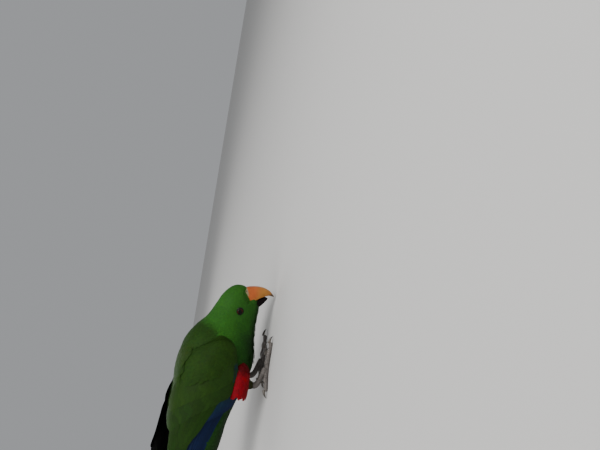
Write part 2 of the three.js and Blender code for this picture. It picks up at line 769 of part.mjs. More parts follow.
// A claw grows out of its toe's end face and curves down to a point just above the floor
function clawSolid(side, toe) {
  const heading = radians(toe.heading);
  const steps = 5;
  const radius = CLAW_LENGTH / CLAW_BEND;
  const rows = [];
  for (let i = 0; i <= steps; i += 1) {
    const t = i / steps;
    const angle = CLAW_START + CLAW_BEND * t;
    const along = toe.length + GAP + radius * (Math.sin(angle) - Math.sin(CLAW_START));
    const drop = radius * (Math.cos(CLAW_START) - Math.cos(angle));
    const at = footPoint(side, along * Math.cos(heading), along * Math.sin(heading), CLAW_TOP - 0.55 * drop);
    rows.push([...at.toArray(), mix(1.9, 0.3, t)]);
  }
  const room = toeTube(side, { ...toe, length: toe.length + GAP, radius: toe.radius + 1.5 * GAP });
  return tube(rows, 6).subtract(room);
}

const COLOURS = {
  green: 0x2f7d2c,
  wing: 0x35702a,
  tail: 0x1f5a33,
  leg: 0x9c1a22,
  bill: 0xe8843a,
  cere: 0xcfae72,
  lowerBill: 0x1d1412,
  foot: 0x5b5652,
  claw: 0x2a2623,
  eye: 0x1a0f08,
};

const bird = new THREE.Group();

function addNode(name, solid, colour, roughness = 0.8) {
  const material = new THREE.MeshStandardMaterial({ color: colour, roughness, metalness: 0 });
  const mesh = new THREE.Mesh(geometryOf(largestBody(solid)), material);
  mesh.name = name;
  bird.add(mesh);
}

const bodyRoom = join([rumpLength(GAP), torsoLength(GAP), neckLength(GAP)]);
addNode('rump', rumpSolid(), COLOURS.green);
addNode('torso', torsoLength(), COLOURS.green);
addNode('neck', neckLength(), COLOURS.green);
addNode('head', headSolid(), COLOURS.green);
addNode('cere', cereSolid(), COLOURS.cere, 0.6);
addNode('bill_upper', upperBill(CERE_END + 0.05), COLOURS.bill, 0.35);
addNode('bill_lower', lowerBill().subtract(upperBill(0, GAP)).subtract(cere(GAP)), COLOURS.lowerBill, 0.4);
addNode('tail', tailSolid(), COLOURS.tail);

for (const [side, label] of [[1, 'left'], [-1, 'right']]) {
  const eye = new THREE.IcosahedronGeometry(EYE_RADIUS, 2);
  addNode(`eye_${label}`, besideEye(eye, side, EYE_DEPTH), COLOURS.eye, 0.1);
  addNode(`wing_${label}`, wingSolid(side).subtract(bodyRoom), COLOURS.wing);
  addNode(`thigh_${label}`, thighSolid(side).subtract(bodyRoom).subtract(wingRoom(side)), COLOURS.leg);
  addNode(`foot_${label}`, footSolid(side), COLOURS.foot);
  for (const toe of TOES) {
    addNode(`claw_${label}_${toe.name}`, clawSolid(side, toe), COLOURS.claw, 0.4);
  }
}

// The origin is the middle of the bird's box at floor level
const box = new THREE.Box3().setFromObject(bird);
const middle = box.getCenter(point(0, 0, 0));
bird.position.set(-middle.x, -middle.y, -box.min.z);

export default bird;
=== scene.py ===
"""The looks of a male eclectus parrot at life size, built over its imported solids.

Shapes are worked out in millimetres in the bird's own frame: +X is the way it faces, +Y its left, +Z up
and the floor at Z = 0. SHIFT carries them into the part's frame.
"""

import math

import bpy
import numpy as np
from mathutils import Matrix, Vector


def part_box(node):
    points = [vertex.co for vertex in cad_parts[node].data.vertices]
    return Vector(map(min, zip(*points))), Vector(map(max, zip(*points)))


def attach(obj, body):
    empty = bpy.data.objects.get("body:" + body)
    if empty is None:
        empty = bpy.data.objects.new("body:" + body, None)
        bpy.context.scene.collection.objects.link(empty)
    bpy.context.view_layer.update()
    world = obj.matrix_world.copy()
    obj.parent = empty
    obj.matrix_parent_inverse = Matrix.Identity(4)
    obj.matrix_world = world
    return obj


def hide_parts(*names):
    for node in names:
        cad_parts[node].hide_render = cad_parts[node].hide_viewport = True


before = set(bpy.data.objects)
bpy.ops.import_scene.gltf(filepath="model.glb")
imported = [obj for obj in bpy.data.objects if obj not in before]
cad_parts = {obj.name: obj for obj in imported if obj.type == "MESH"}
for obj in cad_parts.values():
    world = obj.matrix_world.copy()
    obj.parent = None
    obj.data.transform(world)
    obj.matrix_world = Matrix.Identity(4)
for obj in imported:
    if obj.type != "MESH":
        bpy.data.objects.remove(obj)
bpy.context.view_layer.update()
rng = np.random.default_rng(11)
SIDES = ((1, "left"), (-1, "right"))

# Driving dimensions, as in the solids
HEAD_PLACE = np.array([75.2, -4.0, 47.0])
HEAD_TURN = math.radians(-18)
HEAD_DIP = math.radians(34)
EYE_RADIUS = 6.4
EYE_DEPTH = 14.4
EYE_OPENING = 3.8
EYE_HALF_HEIGHT = 2.8  # of the opening between the lids
EYE_TILT = math.radians(-28)
PUPIL = 2.5
IRIS = 3.5
LID_REACH = 5.0
SOCKET_DIP = 1.3
SOCKET_REACH = 7.0
TAIL_ROOT_X = -121.0
TAIL_ROOT_Z = 71.5
TAIL_LENGTH = 108.0
TAIL_RISE = math.radians(7)
TAIL_ROOF = 0.012
FOOT_SPREAD = 18.0
LEFT_FOOT_AHEAD = 8.0
LEFT_WING_TURN = np.array(
    Matrix.Rotation(math.radians(-4), 3, "Z") @ Matrix.Rotation(math.radians(8.5), 3, "Y")
)
LEFT_WING_DROP = np.array([0, 0, 1.5])
LEFT_WING_PIVOT = np.array([-15.0, 38.0, 92.0])
MIRROR = np.array([1, -1, 1])

# Hoops: top x, y, z, bottom x, y, z, half width, squareness, low, turn in degrees
TAIL_HOOPS = [
    [-146, 0, 81.6, -146, 0, 67.5, 12, 2, 0, 0],
    [-132, 0, 81.8, -132, 0, 64, 12, 2, 0, 0],
]
BODY_HOOPS = [
    [-118, 0, 83, -118, 0, 62, 13, 2, 0, 0],
    [-108, 0, 90, -110, 0, 54, 16.5, 2, 0, 0],
    [-96, 0, 96, -98, 0, 48.5, 20.5, 2, 0, 0],
    [-82, 0, 102, -84, 0, 45.5, 25, 2.1, 0.02, 0],
    [-64, 0, 107.5, -64, 0, 42, 29.8, 2.2, 0.02, 0],
    [-42, 0, 111.5, -42, 0, 35, 34.5, 2.2, 0.02, 0],
    [-20, 0, 114, -20, 0, 26.5, 37, 2.2, 0.02, 0],
    [0, 0, 114.5, 0, 0, 20, 38, 2.2, 0.02, 0],
    [15, 0, 112.3, 14, 0, 19, 38, 2.2, 0.02, 0],
    [33, -0.5, 106.8, 24, 0.5, 19.7, 37, 2.1, 0, -3],
    [47.2, -1.2, 97.2, 32, 1.8, 20.1, 33, 2.1, 0, -7],
    [60.5, -2.8, 85, 38, 3.8, 20.8, 28.5, 2.1, 0, -12],
]
# Hoops of the head: ahead of the eyes, crown, throat, half width, squareness
HEAD_HOOPS = [
    [-13, 25.6, -41, 24.5, 2.1],
    [-4, 27.2, -33.5, 21.8, 2.1],
    [5, 27.4, -27.8, 19.5, 2.1],
    [12, 26.3, -23.6, 16.6, 2.1],
    [17.5, 24, -19.5, 13.6, 2.1],
    [21.5, 20.5, -15.5, 11, 2],
    [24.3, 15.8, -11.5, 8.4, 2],
    [25.6, 11, -8, 5, 2],
]
# The upper bill: culmen ahead and up, cutting edge ahead and up, half width. The last row rounds the tip.
UPPER_BILL = np.array([
    [17.6, 14, 9.6, -6.4, 10.4],
    [21.5, 12.6, 12.5, -6.5, 10.2],
    [27.2, 9.9, 16.6, -6.4, 9.7],
    [32.6, 4.8, 21, -7.4, 8.8],
    [37.4, -1, 25.4, -9.4, 7.5],
    [41.1, -8, 29.9, -12, 6],
    [42.6, -15.5, 34.4, -15.4, 4.2],
    [42.1, -20.8, 38.1, -19.4, 2.3],
    [40.9, -25.2, 40.3, -25, 0.45],
])
BILL_FULLNESS = 0.55  # the less, the squarer the upper bill's section
CERE_REACH = 1.85  # how far along the upper bill's rows the bare skin reaches
NOSTRIL = (23.1, 6.9, 8.9)
FACE_GAP = 1.2  # how far the skin lies inside the bill's base
# Where the feathers end beside the bill: how far up, and how far ahead
FACE_UP = [-10, -6, -2.5, 2.5, 6.2, 9, 11.7, 14, 16]
FACE_AHEAD = [26.5, 22.5, 19.2, 21.4, 22.7, 23.6, 27, 30, 32]
# The lower bill: rim ahead and up, keel ahead and up, half width
LOWER_BILL = np.array([
    [12, -8.6, 10, -17, 7.2],
    [18.5, -9.4, 17, -19.6, 7.2],
    [24.5, -11.6, 24, -20.8, 6.2],
    [29.8, -14.8, 30, -21, 4.8],
    [33.2, -17.6, 33.8, -20.6, 2.8],
])
# The wing's shell: x, how far out its middle line lies, half width, middle and half height, lower and
# upper edge
WING_SHELL = np.array([
    [36, 0, 37, 66, 42, 56, 84],
    [24, 0, 38.8, 65, 45, 49, 92],
    [8, 0, 38.9, 66.5, 46.5, 45.5, 102.5],
    [-20, 0, 37.6, 71, 43, 42, 110.5],
    [-42, 0, 35, 74, 39, 44.5, 111],
    [-64, 0, 30, 75.5, 36, 54, 109.5],
    [-96, -1, 22, 79, 29, 67.5, 104],
    [-120, -5, 21, 84, 24, 76, 101.5],
    [-150, -8, 21, 87.5, 22, 84, 99.5],
    [-180, -10, 20, 90.5, 21, 90, 98.3],
    [-206, -12, 19, 93, 20, 94, 98],
])
WING_FRONT = 33.0
ARM_THICKNESS = 8.1
ARM_EDGE = 0.9
ARM_ROUNDING = 34.0
ARM_END = -26.0
ARM_SLANT = 34.0
ARM_BROW = 70.0  # how steeply the arm is rounded down ahead of its front edge
# How high the wing's coverts stand where the scapulars meet them, by x
COVERT_CREST_X = [-85, -70, -45, -20, 0, 12, 22]
COVERT_CREST = {"left": [6.6, 7.4, 8.3, 8.5, 7.7, 4.9, 0.4], "right": [3.9, 4.4, 5.0, 5.4, 5.6, 4.2, 0.4]}
SCAPULAR_RAIL = 0.80  # how far up the wing the scapulars' surface starts
PRIMARIES, SECONDARIES, TERTIALS = 10, 10, 3
COVERTS = 12  # in each of the two large tiers
PRIMARY_COVERTS, ALULA_FEATHERS = 9, 4
TAIL_PAIRS, TAIL_COVERT_PAIRS = 6, 5
# The flank's puff and the feathered leg: centre x, sideways, z and radius
FLANK = np.array([
    [7, 22, 39, 3.5],
    [3, 25.4, 37, 8.6],
    [-5, 27.5, 36.5, 11.7],
    [-15, 27.2, 36.6, 12.2],
    [-25, 26.6, 36.4, 12],
    [-34, 26, 36.8, 11],
    [-43, 25, 38, 9],
])
THIGH = np.array([
    [-13, 23, 38, 9],
    [-15.5, 21, 30, 8.5],
    [-18, 18.5, 23, 5.6],
    [-18, 18.5, 18.6, 4.2],
])
# The shank from the heel to the ball of the foot: ahead, outwards, z and radius
SHANK = np.array([
    [-18, 0.5, 20.5, 3.5],
    [-18, 0.5, 15.4, 3.9],
    [-14, 0, 11.2, 3.4],
    [-6, 0, 8.2, 3.3],
    [1, 0, 5.2, 3.8],
    [4, 0, 4.6, 3],
])
# Toes: name, heading in degrees, length, radius
TOES = [
    ("inner_front", -24, 22, 3.0),
    ("outer_front", 9, 36, 3.1),
    ("outer_back", 158, 25, 3.0),
    ("inner_back", 205, 16, 2.7),
]
TOE_PAD_SPACING = 11.0
SCUTE_SPACING = 2.4
CLAW_START = 0.15  # the claw's slope at the toe
CLAW_HEIGHT = 4.6
CLAW_BEND = math.radians(62)
CLAW_LENGTH = 11.0

# Feathers by their distance from the front: length, and the spaces between rows and between neighbours
# as shares of it
COAT_PLAN = [
    [0, 2.4, 0.13, 0.34],
    [8, 3.6, 0.13, 0.32],
    [22, 5.5, 0.13, 0.31],
    [45, 8.0, 0.13, 0.32],
    [70, 11.0, 0.14, 0.36],
    [105, 15.0, 0.15, 0.40],
    [300, 17.0, 0.15, 0.42],
]
LESSER_PLAN = [[0, 5.0, 0.15, 0.42], [12, 7.5, 0.15, 0.42], [40, 11.0, 0.15, 0.43], [90, 14.0, 0.16, 0.45]]
SCAPULAR_PLAN = [[0, 9, 0.15, 0.42], [30, 15, 0.15, 0.42], [100, 20, 0.15, 0.42]]
COAT_LIMITS = [-1, 3.0, 5.6, 8.0, 9.8, 11.0, 12.4, 14.0, 15.6, 17.2, 20]  # places where its pieces meet
FACE_START = 10.9  # the coat's pieces from this place on have the face's finer feathers
RIM_ANGLE = math.radians(60)  # a vane's two faces are shaded apart at its rim
COUNT_STEP = 1.08  # rows keep their number of feathers until it is out by about this, to stay staggered
PATCH = 0.003  # size of each small feather's patch on the unwrap
WING_VANE, TAIL_VANE = 0.26, 0.28  # thickness of the long feathers

# Colours, as linear light
CROWN_GREEN = (0.024, 0.110, 0.011)
CHEEK_GREEN = (0.020, 0.095, 0.010)
NAPE_GREEN = (0.024, 0.112, 0.011)
MANTLE_GREEN = (0.016, 0.048, 0.005)
BREAST_GREEN = (0.009, 0.052, 0.005)
VENT_GREEN = (0.010, 0.040, 0.005)
BACK_TINT = (0.034, 0.054, 0.010)
WING_OLIVE = (0.014, 0.041, 0.003)
# painted sheen on the upper part of the wing
WING_SHOULDER_SHEEN = (0.017, 0.048, 0.005)
# painted light: the lit olive of the scapulars on top of the back
SCAPULAR_LIT_OLIVE = (0.019, 0.050, 0.006)
WING_GREEN = (0.012, 0.038, 0.003)
SECONDARY_GREEN = (0.010, 0.034, 0.002)
FLIGHT_BLUE = (0.005, 0.013, 0.050)
EDGE_BLUE = (0.005, 0.024, 0.046)
# the primaries' own black inner webs and tips, also used as painted shade on the far wing's other feathers
WEB_BLACK_AND_SHADE = (0.005, 0.006, 0.006)
FLANK_RED = np.array([0.210, 0.002, 0.007])
LEG_OLIVE = (0.030, 0.032, 0.010)
TAIL_GREEN = (0.010, 0.050, 0.012)
TAIL_BLUE = (0.006, 0.022, 0.070)
TAIL_TIP = (0.400, 0.340, 0.110)
BILL_ORANGE = (0.43, 0.090, 0.014)
BILL_YELLOW = (0.42, 0.165, 0.022)
BILL_HORN = (0.060, 0.040, 0.024)
BILL_BLACK = (0.008, 0.005, 0.005)
BILL_DARK_RED = (0.045, 0.010, 0.007)
CERE_COLOUR = (0.27, 0.21, 0.11)
# painted shade inside the nostrils
NOSTRIL_SHADE = (0.02, 0.015, 0.01)
# painted shade: the iris's own orange darkened to a deep brown
IRIS_SHADE_BROWN = (0.045, 0.009, 0.003)
IRIS_STREAK = (0.120, 0.026, 0.005)
PUPIL_BLACK = (0.003, 0.002, 0.002)
EYE_DARK = (0.012, 0.007, 0.005)
LID_GREY = (0.010, 0.012, 0.009)
CLAW_PALE = (0.10, 0.085, 0.07)
CLAW_DARK = (0.022, 0.019, 0.017)
CREASE_GREY = (0.045, 0.038, 0.034, 1)
SCALE_GREY = (0.170, 0.150, 0.135, 1)
FLOOR_GREY = (0.62, 0.61, 0.59, 1)
SKY_GREY = (0.80, 0.82, 0.85, 1)

# The camera, which lies on its side as the photo does
CAMERA_PLACE = np.array([49.1, -603.2, 121.0])
CAMERA_RIGHT = (0.96548, -0.20089, 0.16581)
CAMERA_DOWN = (0.11132, -0.25729, -0.95990)
CAMERA_BACK = (-0.23549, -0.94522, 0.22605)
LIT_PLACE = Vector((0.0, 0.0, 0.06))
# Lights: name, place in metres, size, energy
LIGHTS = [
    ("key", (0.5, -0.9, 1.1), 1.0, 18.0),
    ("fill", (-0.9, -0.5, 0.8), 1.2, 6.0),
    ("back", (-0.2, 1.0, 0.9), 1.0, 5.0),
]


def mix(low, high, share):
    return low + (high - low) * share


def ease(value, start=0.0, end=1.0):
    share = np.clip((value - start) / (end - start), 0, 1)
    return share * share * (3 - 2 * share)


def blend(colour, other, share):
    """Colours mixed by a share of any shape."""
    share = np.asarray(share)[..., None]
    return np.asarray(colour) * (1 - share) + np.asarray(other) * share


def unit(vectors):
    return vectors / np.linalg.norm(vectors, axis=-1, keepdims=True)


def around(count):
    return np.linspace(0, math.tau, count, endpoint=False)


def grid(rows, columns):
    return np.meshgrid(rows, columns, indexing="ij")


def rows_at(table, place):
    """The smooth curve through a table's rows, read at places that may lie between two rows."""
    last = len(table) - 1
    place = np.clip(place, 0, last)
    i = np.minimum(place.astype(int), last - 1)
    t = (place - i)[..., None]
    a, b, c, d = (table[np.clip(i + k, 0, last)] for k in (-1, 0, 1, 2))
    slope_in, slope_out, rise = (c - a) / 2, (d - b) / 2, c - b
    bend = slope_in + slope_out - 2 * rise
    return b + t * (slope_in + t * (rise - slope_in - bend + t * bend))


AHEAD = np.array([
    math.cos(HEAD_DIP) * math.cos(HEAD_TURN),
    math.cos(HEAD_DIP) * math.sin(HEAD_TURN),
    -math.sin(HEAD_DIP),
])
LEFT = np.array([-math.sin(HEAD_TURN), math.cos(HEAD_TURN), 0.0])
UP = np.cross(AHEAD, LEFT)


def head_point(ahead, left, up):
    ahead, left, up = (np.asarray(value, float)[..., None] for value in (ahead, left, up))
    return HEAD_PLACE + ahead * AHEAD + left * LEFT + up * UP


def from_head(points):
    """How far places lie ahead of the eyes, to the head's left and above."""
    offset = points - HEAD_PLACE
    return offset @ AHEAD, offset @ LEFT, offset @ UP


low_corner, high_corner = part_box("eye_right")
SHIFT = np.array((low_corner + high_corner) / 2) * 1000 - head_point(0, -EYE_DEPTH, 0)
SHIFT[2] = 0.0

HOOPS = np.array(TAIL_HOOPS + BODY_HOOPS + [
    [*head_point(ahead, 0, crown), *head_point(ahead, 0, throat), half, square, 0, math.degrees(HEAD_TURN)]
    for ahead, crown, throat, half, square in HEAD_HOOPS
], float)
LAST_PLACE = len(HOOPS) - len(TAIL_HOOPS) - 1.0


def body_point(place, angle, grow=0.0):
    """The body's surface at a place in the row of hoops, 0 at the rump's end, and an angle, 0 on the
    left and a quarter turn on top, grown by some millimetres."""
    row = rows_at(HOOPS, place + len(TAIL_HOOPS))
    top, bottom = row[..., 0:3], row[..., 3:6]
    half, square, low, degrees = (row[..., k] for k in (6, 7, 8, 9))
    turn = np.radians(degrees)
    side = np.stack([-np.sin(turn), np.cos(turn), np.zeros_like(turn)], -1)
    tall = np.linalg.norm(top - bottom, axis=-1) / 2

    def bulge(value):
        return np.sign(value) * np.abs(value) ** (2 / square)

    wide = (half + grow) * (1 - low * np.sin(angle)) * bulge(np.cos(angle))
    high = (tall + grow) * bulge(np.sin(angle))
    return (top + bottom) / 2 + side * wide[..., None] + unit(top - bottom) * high[..., None]


def coat_depth(place):
    return np.interp(place, [0, 4, 9.5, 11.5, 14, 17, 19], [1.7, 1.9, 1.6, 1.2, 0.9, 0.6, 0.4])


def past_face(ahead, above):
    """How far a place of the head lies ahead of the line where the feathers end beside the bill."""
    return ahead - np.interp(above, FACE_UP, FACE_AHEAD)


def skin_point(place, angle, grow=0.0):
    """The skin under the coat, which dips about the eyes and narrows to end inside the bill's base."""
    at = body_point(place, angle, grow - coat_depth(place))
    ahead, aside, above = from_head(at)
    dip = SOCKET_DIP * np.exp(-(ahead ** 2 + above ** 2) / SOCKET_REACH ** 2) * ease(np.abs(aside), 6, 12)
    front = past_face(ahead, above)
    _, top, _, bottom, half = UPPER_BILL[1]
    level = np.clip((above - bottom) / (top - bottom), 0, 0.95)
    room = half * (1 - level ** 2) ** (BILL_FULLNESS / 2) - FACE_GAP + grow
    beside = ease(above, -14, -9) * ease(-above, -16, -12.5)
    pinch = ease(front, -9, 0.3) * beside * np.maximum(np.abs(aside) - room, 0)
    back = np.maximum(front - 0.4, 0) * ease(above, -14, -10)
    return at - ((dip + pinch) * np.sign(aside))[..., None] * LEFT - back[..., None] * AHEAD


def shell_section(x):
    """The wing's shell at x: inset, half width, middle, half height, and its edges as angles."""
    firsts = WING_SHELL[:, 0]
    row = rows_at(WING_SHELL, np.interp(-x, -firsts, np.arange(len(firsts))))
    inset, wide, middle, tall, lower, upper = (row[..., k] for k in range(1, 7))
    low, high = (np.arcsin(np.clip((edge - middle) / tall, -0.98, 0.98)) for edge in (lower, upper))
    return inset, wide, middle, tall, low, high


def shell_point(x, share, arc, height, side):
    """A place on a wing: x along the bird, share up the wing from its lower edge, arc millimetres
    further up and height above the shell. The left wing is lifted off the back."""
    x, share, arc, height = np.broadcast_arrays(x, share, arc, height)
    inset, wide, middle, tall, low, high = shell_section(x)
    angle = mix(low, high, share) + 2 * arc / (wide + tall)
    out = unit(np.stack([np.zeros_like(angle), np.cos(angle) / wide, np.sin(angle) / tall], -1))
    at = np.stack([x, inset + wide * np.cos(angle), middle + tall * np.sin(angle)], -1)
    at = at + out * height[..., None]
    if side < 0:
        return at * MIRROR
    return (at - LEFT_WING_PIVOT) @ LEFT_WING_TURN.T + LEFT_WING_PIVOT - LEFT_WING_DROP


def arm_x(back, share):
    return mix(WING_FRONT - ARM_ROUNDING * (share - 0.3) ** 2, ARM_END - ARM_SLANT * share, back)


def arm_height(back, share, side):
    crown = np.sin(np.pi * np.clip(back, 0, 1) ** 0.75) ** 0.55
    crown = crown * np.sin(np.pi * mix(0.04, 0.96, np.clip(share, 0, 1))) ** 0.4
    if side < 0:
        crown = crown * (1 - 0.4 * ease(share, 0.45, 1.0))
    return ARM_EDGE + ARM_THICKNESS * crown


def tube_point(rows, side, ahead, place, angle, grow=0.0):
    """The surface of a round tube along rows of x, sideways, z and radius."""
    row = rows_at(rows, place)
    along = unit((rows_at(rows, place + 0.05) - rows_at(rows, place - 0.05))[..., :3])
    across = np.cross(np.array([0.0, 0.0, 1.0]), along)
    flat = np.linalg.norm(across, axis=-1, keepdims=True) < 0.2
    across = unit(np.where(flat, np.array([0.0, 1.0, 0.0]), across))
    over = np.cross(along, across)
    radius = (row[..., 3] + grow)[..., None]
    at = row[..., :3] + across * np.cos(angle)[..., None] * radius + over * np.sin(angle)[..., None] * radius
    return at * np.array([1, side, 1]) + np.array([ahead, 0, 0])


def tail_point(back, left, up):
    back, left, up = np.broadcast_arrays(back, left, up)
    return np.stack([
        TAIL_ROOT_X - back * math.cos(TAIL_RISE) + up * math.sin(TAIL_RISE),
        left,
        TAIL_ROOT_Z + back * math.sin(TAIL_RISE) + up * math.cos(TAIL_RISE),
    ], -1)


def mesh_object(name, points, quads, material, tris=(), uv=None, colours=None, webs=None):
    """An object of quads and triangles that rides on the body, with its finish and its attributes."""
    quads = np.asarray(quads, int).reshape(-1, 4)
    tris = np.asarray(tris, int).reshape(-1, 3)
    corners = np.concatenate([quads.ravel(), tris.ravel()])
    starts = np.concatenate([np.arange(len(quads)) * 4, len(quads) * 4 + np.arange(len(tris)) * 3])

    def fill(layer, key, values):
        layer.foreach_set(key, values.astype(np.float32).ravel())

    mesh = bpy.data.meshes.new(name)
    mesh.vertices.add(len(points))
    fill(mesh.vertices, "co", (points + SHIFT) / 1000)
    mesh.loops.add(len(corners))
    mesh.loops.foreach_set("vertex_index", corners)
    mesh.polygons.add(len(starts))
    mesh.polygons.foreach_set("loop_start", starts)
    mesh.polygons.foreach_set("use_smooth", np.ones(len(starts), bool))
    mesh.update(calc_edges=True)
    if uv is not None:
        fill(mesh.uv_layers.new(name="OFBake").data, "uv", uv[corners])
    if colours is not None:
        tint = np.c_[colours, np.ones(len(colours))]
        fill(mesh.attributes.new("tint", "FLOAT_COLOR", "POINT").data, "color", tint)
    if webs is not None:
        fill(mesh.attributes.new("web", "FLOAT_VECTOR", "POINT").data, "vector", webs)
    mesh.materials.append(material)
    piece = bpy.data.objects.new(name, mesh)
    bpy.context.scene.collection.objects.link(piece)
    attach(piece, "root")
    return piece


def loft(rings):
    """Quads and end triangles between rings of points with as many points each, ends closed."""
    count, sides = rings.shape[:2]
    index = np.arange(count * sides).reshape(count, sides)
    after = np.roll(index, -1, axis=1)
    quads = np.stack([index[:-1], after[:-1], after[1:], index[1:]], -1).reshape(-1, 4)
    first, last = count * sides, count * sides + 1
    tris = np.concatenate([
        np.stack([np.full(sides, first), after[0], index[0]], -1),
        np.stack([np.full(sides, last), index[-1], after[-1]], -1),
    ])
    points = np.concatenate([rings.reshape(-1, 3), rings[0].mean(0)[None], rings[-1].mean(0)[None]])
    from_middle = points - points.mean(0)
    volume = 0.0
    for faces in (quads[:, :3], quads[:, [0, 2, 3]], tris):
        a, b, c = from_middle[faces.T]
        volume += np.einsum("ij,ij->i", a, np.cross(b, c)).sum()
    if volume < 0:
        quads, tris = quads[:, ::-1], tris[:, ::-1]
    return points, quads, tris


def capped(values):
    """Values of a loft's rings, with those of its two end points."""
    values = values.reshape(-1, values.shape[-1])
    return np.concatenate([values, values[:1], values[-1:]])


class Coat:
    """Feathers gathered into one mesh. Each is a closed vane: an upper and an under face that share
    their rim. Long feathers have a strip of the unwrap each."""

    def __init__(self, strips=0):
        self.parts = []
        self.size = 0
        self.strips = strips
        self.strips_used = 0

    def add(self, top, under, tints, uv, shaft=0.0, t=None):
        """top, under and tints are (feathers, rows, columns, 3) and uv (feathers, rows, columns, 2). t
        runs along the vane, and shaft is where its shaft lies, from -1 to 1 across it."""
        n, rows, columns = top.shape[:3]
        rim, inner = rows * columns, (rows - 2) * (columns - 2)
        middle = (slice(None), slice(1, -1), slice(1, -1))
        upper = np.arange(rim).reshape(rows, columns)
        lower = upper.copy()
        lower[1:-1, 1:-1] = rim + np.arange(inner).reshape(rows - 2, columns - 2)

        def faces(index):
            around_face = [index[:-1, :-1], index[1:, :-1], index[1:, 1:], index[:-1, 1:]]
            return np.stack(around_face, -1).reshape(-1, 4)

        along = top[:, 1:, :-1] - top[:, :-1, :-1]
        across = top[:, :-1, 1:] - top[:, :-1, :-1]
        facing = np.cross(along, across)[middle] * (top - under)[:, :-1, :-1][middle]
        quads = np.concatenate([faces(upper), faces(lower)[:, [0, 3, 2, 1]]])
        if facing.sum() < 0:
            quads = quads[:, ::-1]
        quads = quads + (self.size + np.arange(n) * (rim + inner))[:, None, None]
        self.size += n * (rim + inner)

        def both(values):
            """Values of the upper face and the rim, then those of the under face's own points."""
            return np.concatenate([values.reshape(n, rim, -1), values[middle].reshape(n, inner, -1)], 1)

        x = np.linspace(-1, 1, columns)
        x = np.where(x < shaft, (x - shaft) / (1 + shaft), (x - shaft) / (1 - shaft))
        t = np.linspace(0, 1, rows) if t is None else t
        webs = both(np.stack(np.broadcast_arrays(x, t[:, None], np.zeros((n, rows, columns))), -1))
        webs[:, rim:, 2] = 1.0
        points = both(top)
        points[:, rim:] = under[middle].reshape(n, inner, 3)
        parts = (points, quads, both(uv), both(tints), webs)
        self.parts.append([values.reshape(-1, values.shape[-1]) for values in parts])

    def strip_uv(self, count, x, t):
        """Places in the next strips of the unwrap."""
        index = self.strips_used + np.arange(count)[:, None, None]
        self.strips_used += count
        u = (index + 0.1 + 0.8 * (x + 1) / 2) / self.strips
        return np.stack(np.broadcast_arrays(u, 0.03 + 0.94 * t[:, None]), -1)

    def piece(self, name, material, slot):
        points, quads, uv, tints, webs = map(np.concatenate, zip(*self.parts))
        vanes = mesh_object(name, points, quads, material, (), uv, tints, webs)
        vanes.data.set_sharp_from_angle(angle=RIM_ANGLE)
        return vanes


def leaf(t, fullest=0.68, root=0.3, tip=0.12):
    """The width of a feather along its length, as a share of its greatest width."""
    rising = mix(root, 1.0, ease(t, 0.0, fullest))
    falling = np.sqrt(np.clip(1 - ((t - fullest) / (1.0 - fullest)) ** 2, 0, 1))
    return np.where(t < fullest, rising, np.maximum(falling, tip))


def rooted_rows(point, front, rear, span, plan):
    """Roots over a surface, in staggered rows at equal distances from its front edge, by one of the plans
    above. Returns arrays of a, b, length, the distance between neighbours, the space between rows, and 0
    or 1 by turns along a row."""
    plan = np.array(plan, float)
    b = np.linspace(*span, 161)
    a = mix(front, rear, np.linspace(0, 1, 400)[:, None]) * np.ones_like(b)
    points = point(a, b * np.ones_like(a))
    steps = np.linalg.norm(np.diff(points, axis=0), axis=-1)
    travelled = np.concatenate([np.zeros((1, len(b))), np.cumsum(steps, 0)])
    found = []
    distance, row = 0.0, 0
    while distance < travelled[-1].max():
        length, spacing, pitch = (float(np.interp(distance, plan[:, 0], plan[:, k])) for k in (1, 2, 3))
        at = np.array([np.interp(distance, travelled[:, j], a[:, j]) for j in range(len(b))])
        ended = (distance > travelled[-1]).astype(float)
        run = np.linalg.norm(np.diff(point(at, b), axis=0), axis=-1)
        arc = np.concatenate([[0.0], np.cumsum(run)])
        count = arc[-1] / (pitch * length)
        count = max(2, round(COUNT_STEP ** round(math.log(count, COUNT_STEP))))
        where = (np.arange(count) + 0.25 + 0.5 * (row % 2)) * arc[-1] / count
        root_b = np.interp(where, arc, b)
        kept = np.interp(root_b, b, ended) < 0.5
        same = np.ones(count)
        columns = [np.interp(root_b, b, at), root_b, same * length, same * arc[-1] / count, same * spacing,
                   np.arange(count) % 2]
        found.append(np.stack(columns)[:, kept])
        distance += spacing * length
        row += 1
    return np.concatenate(found, 1)


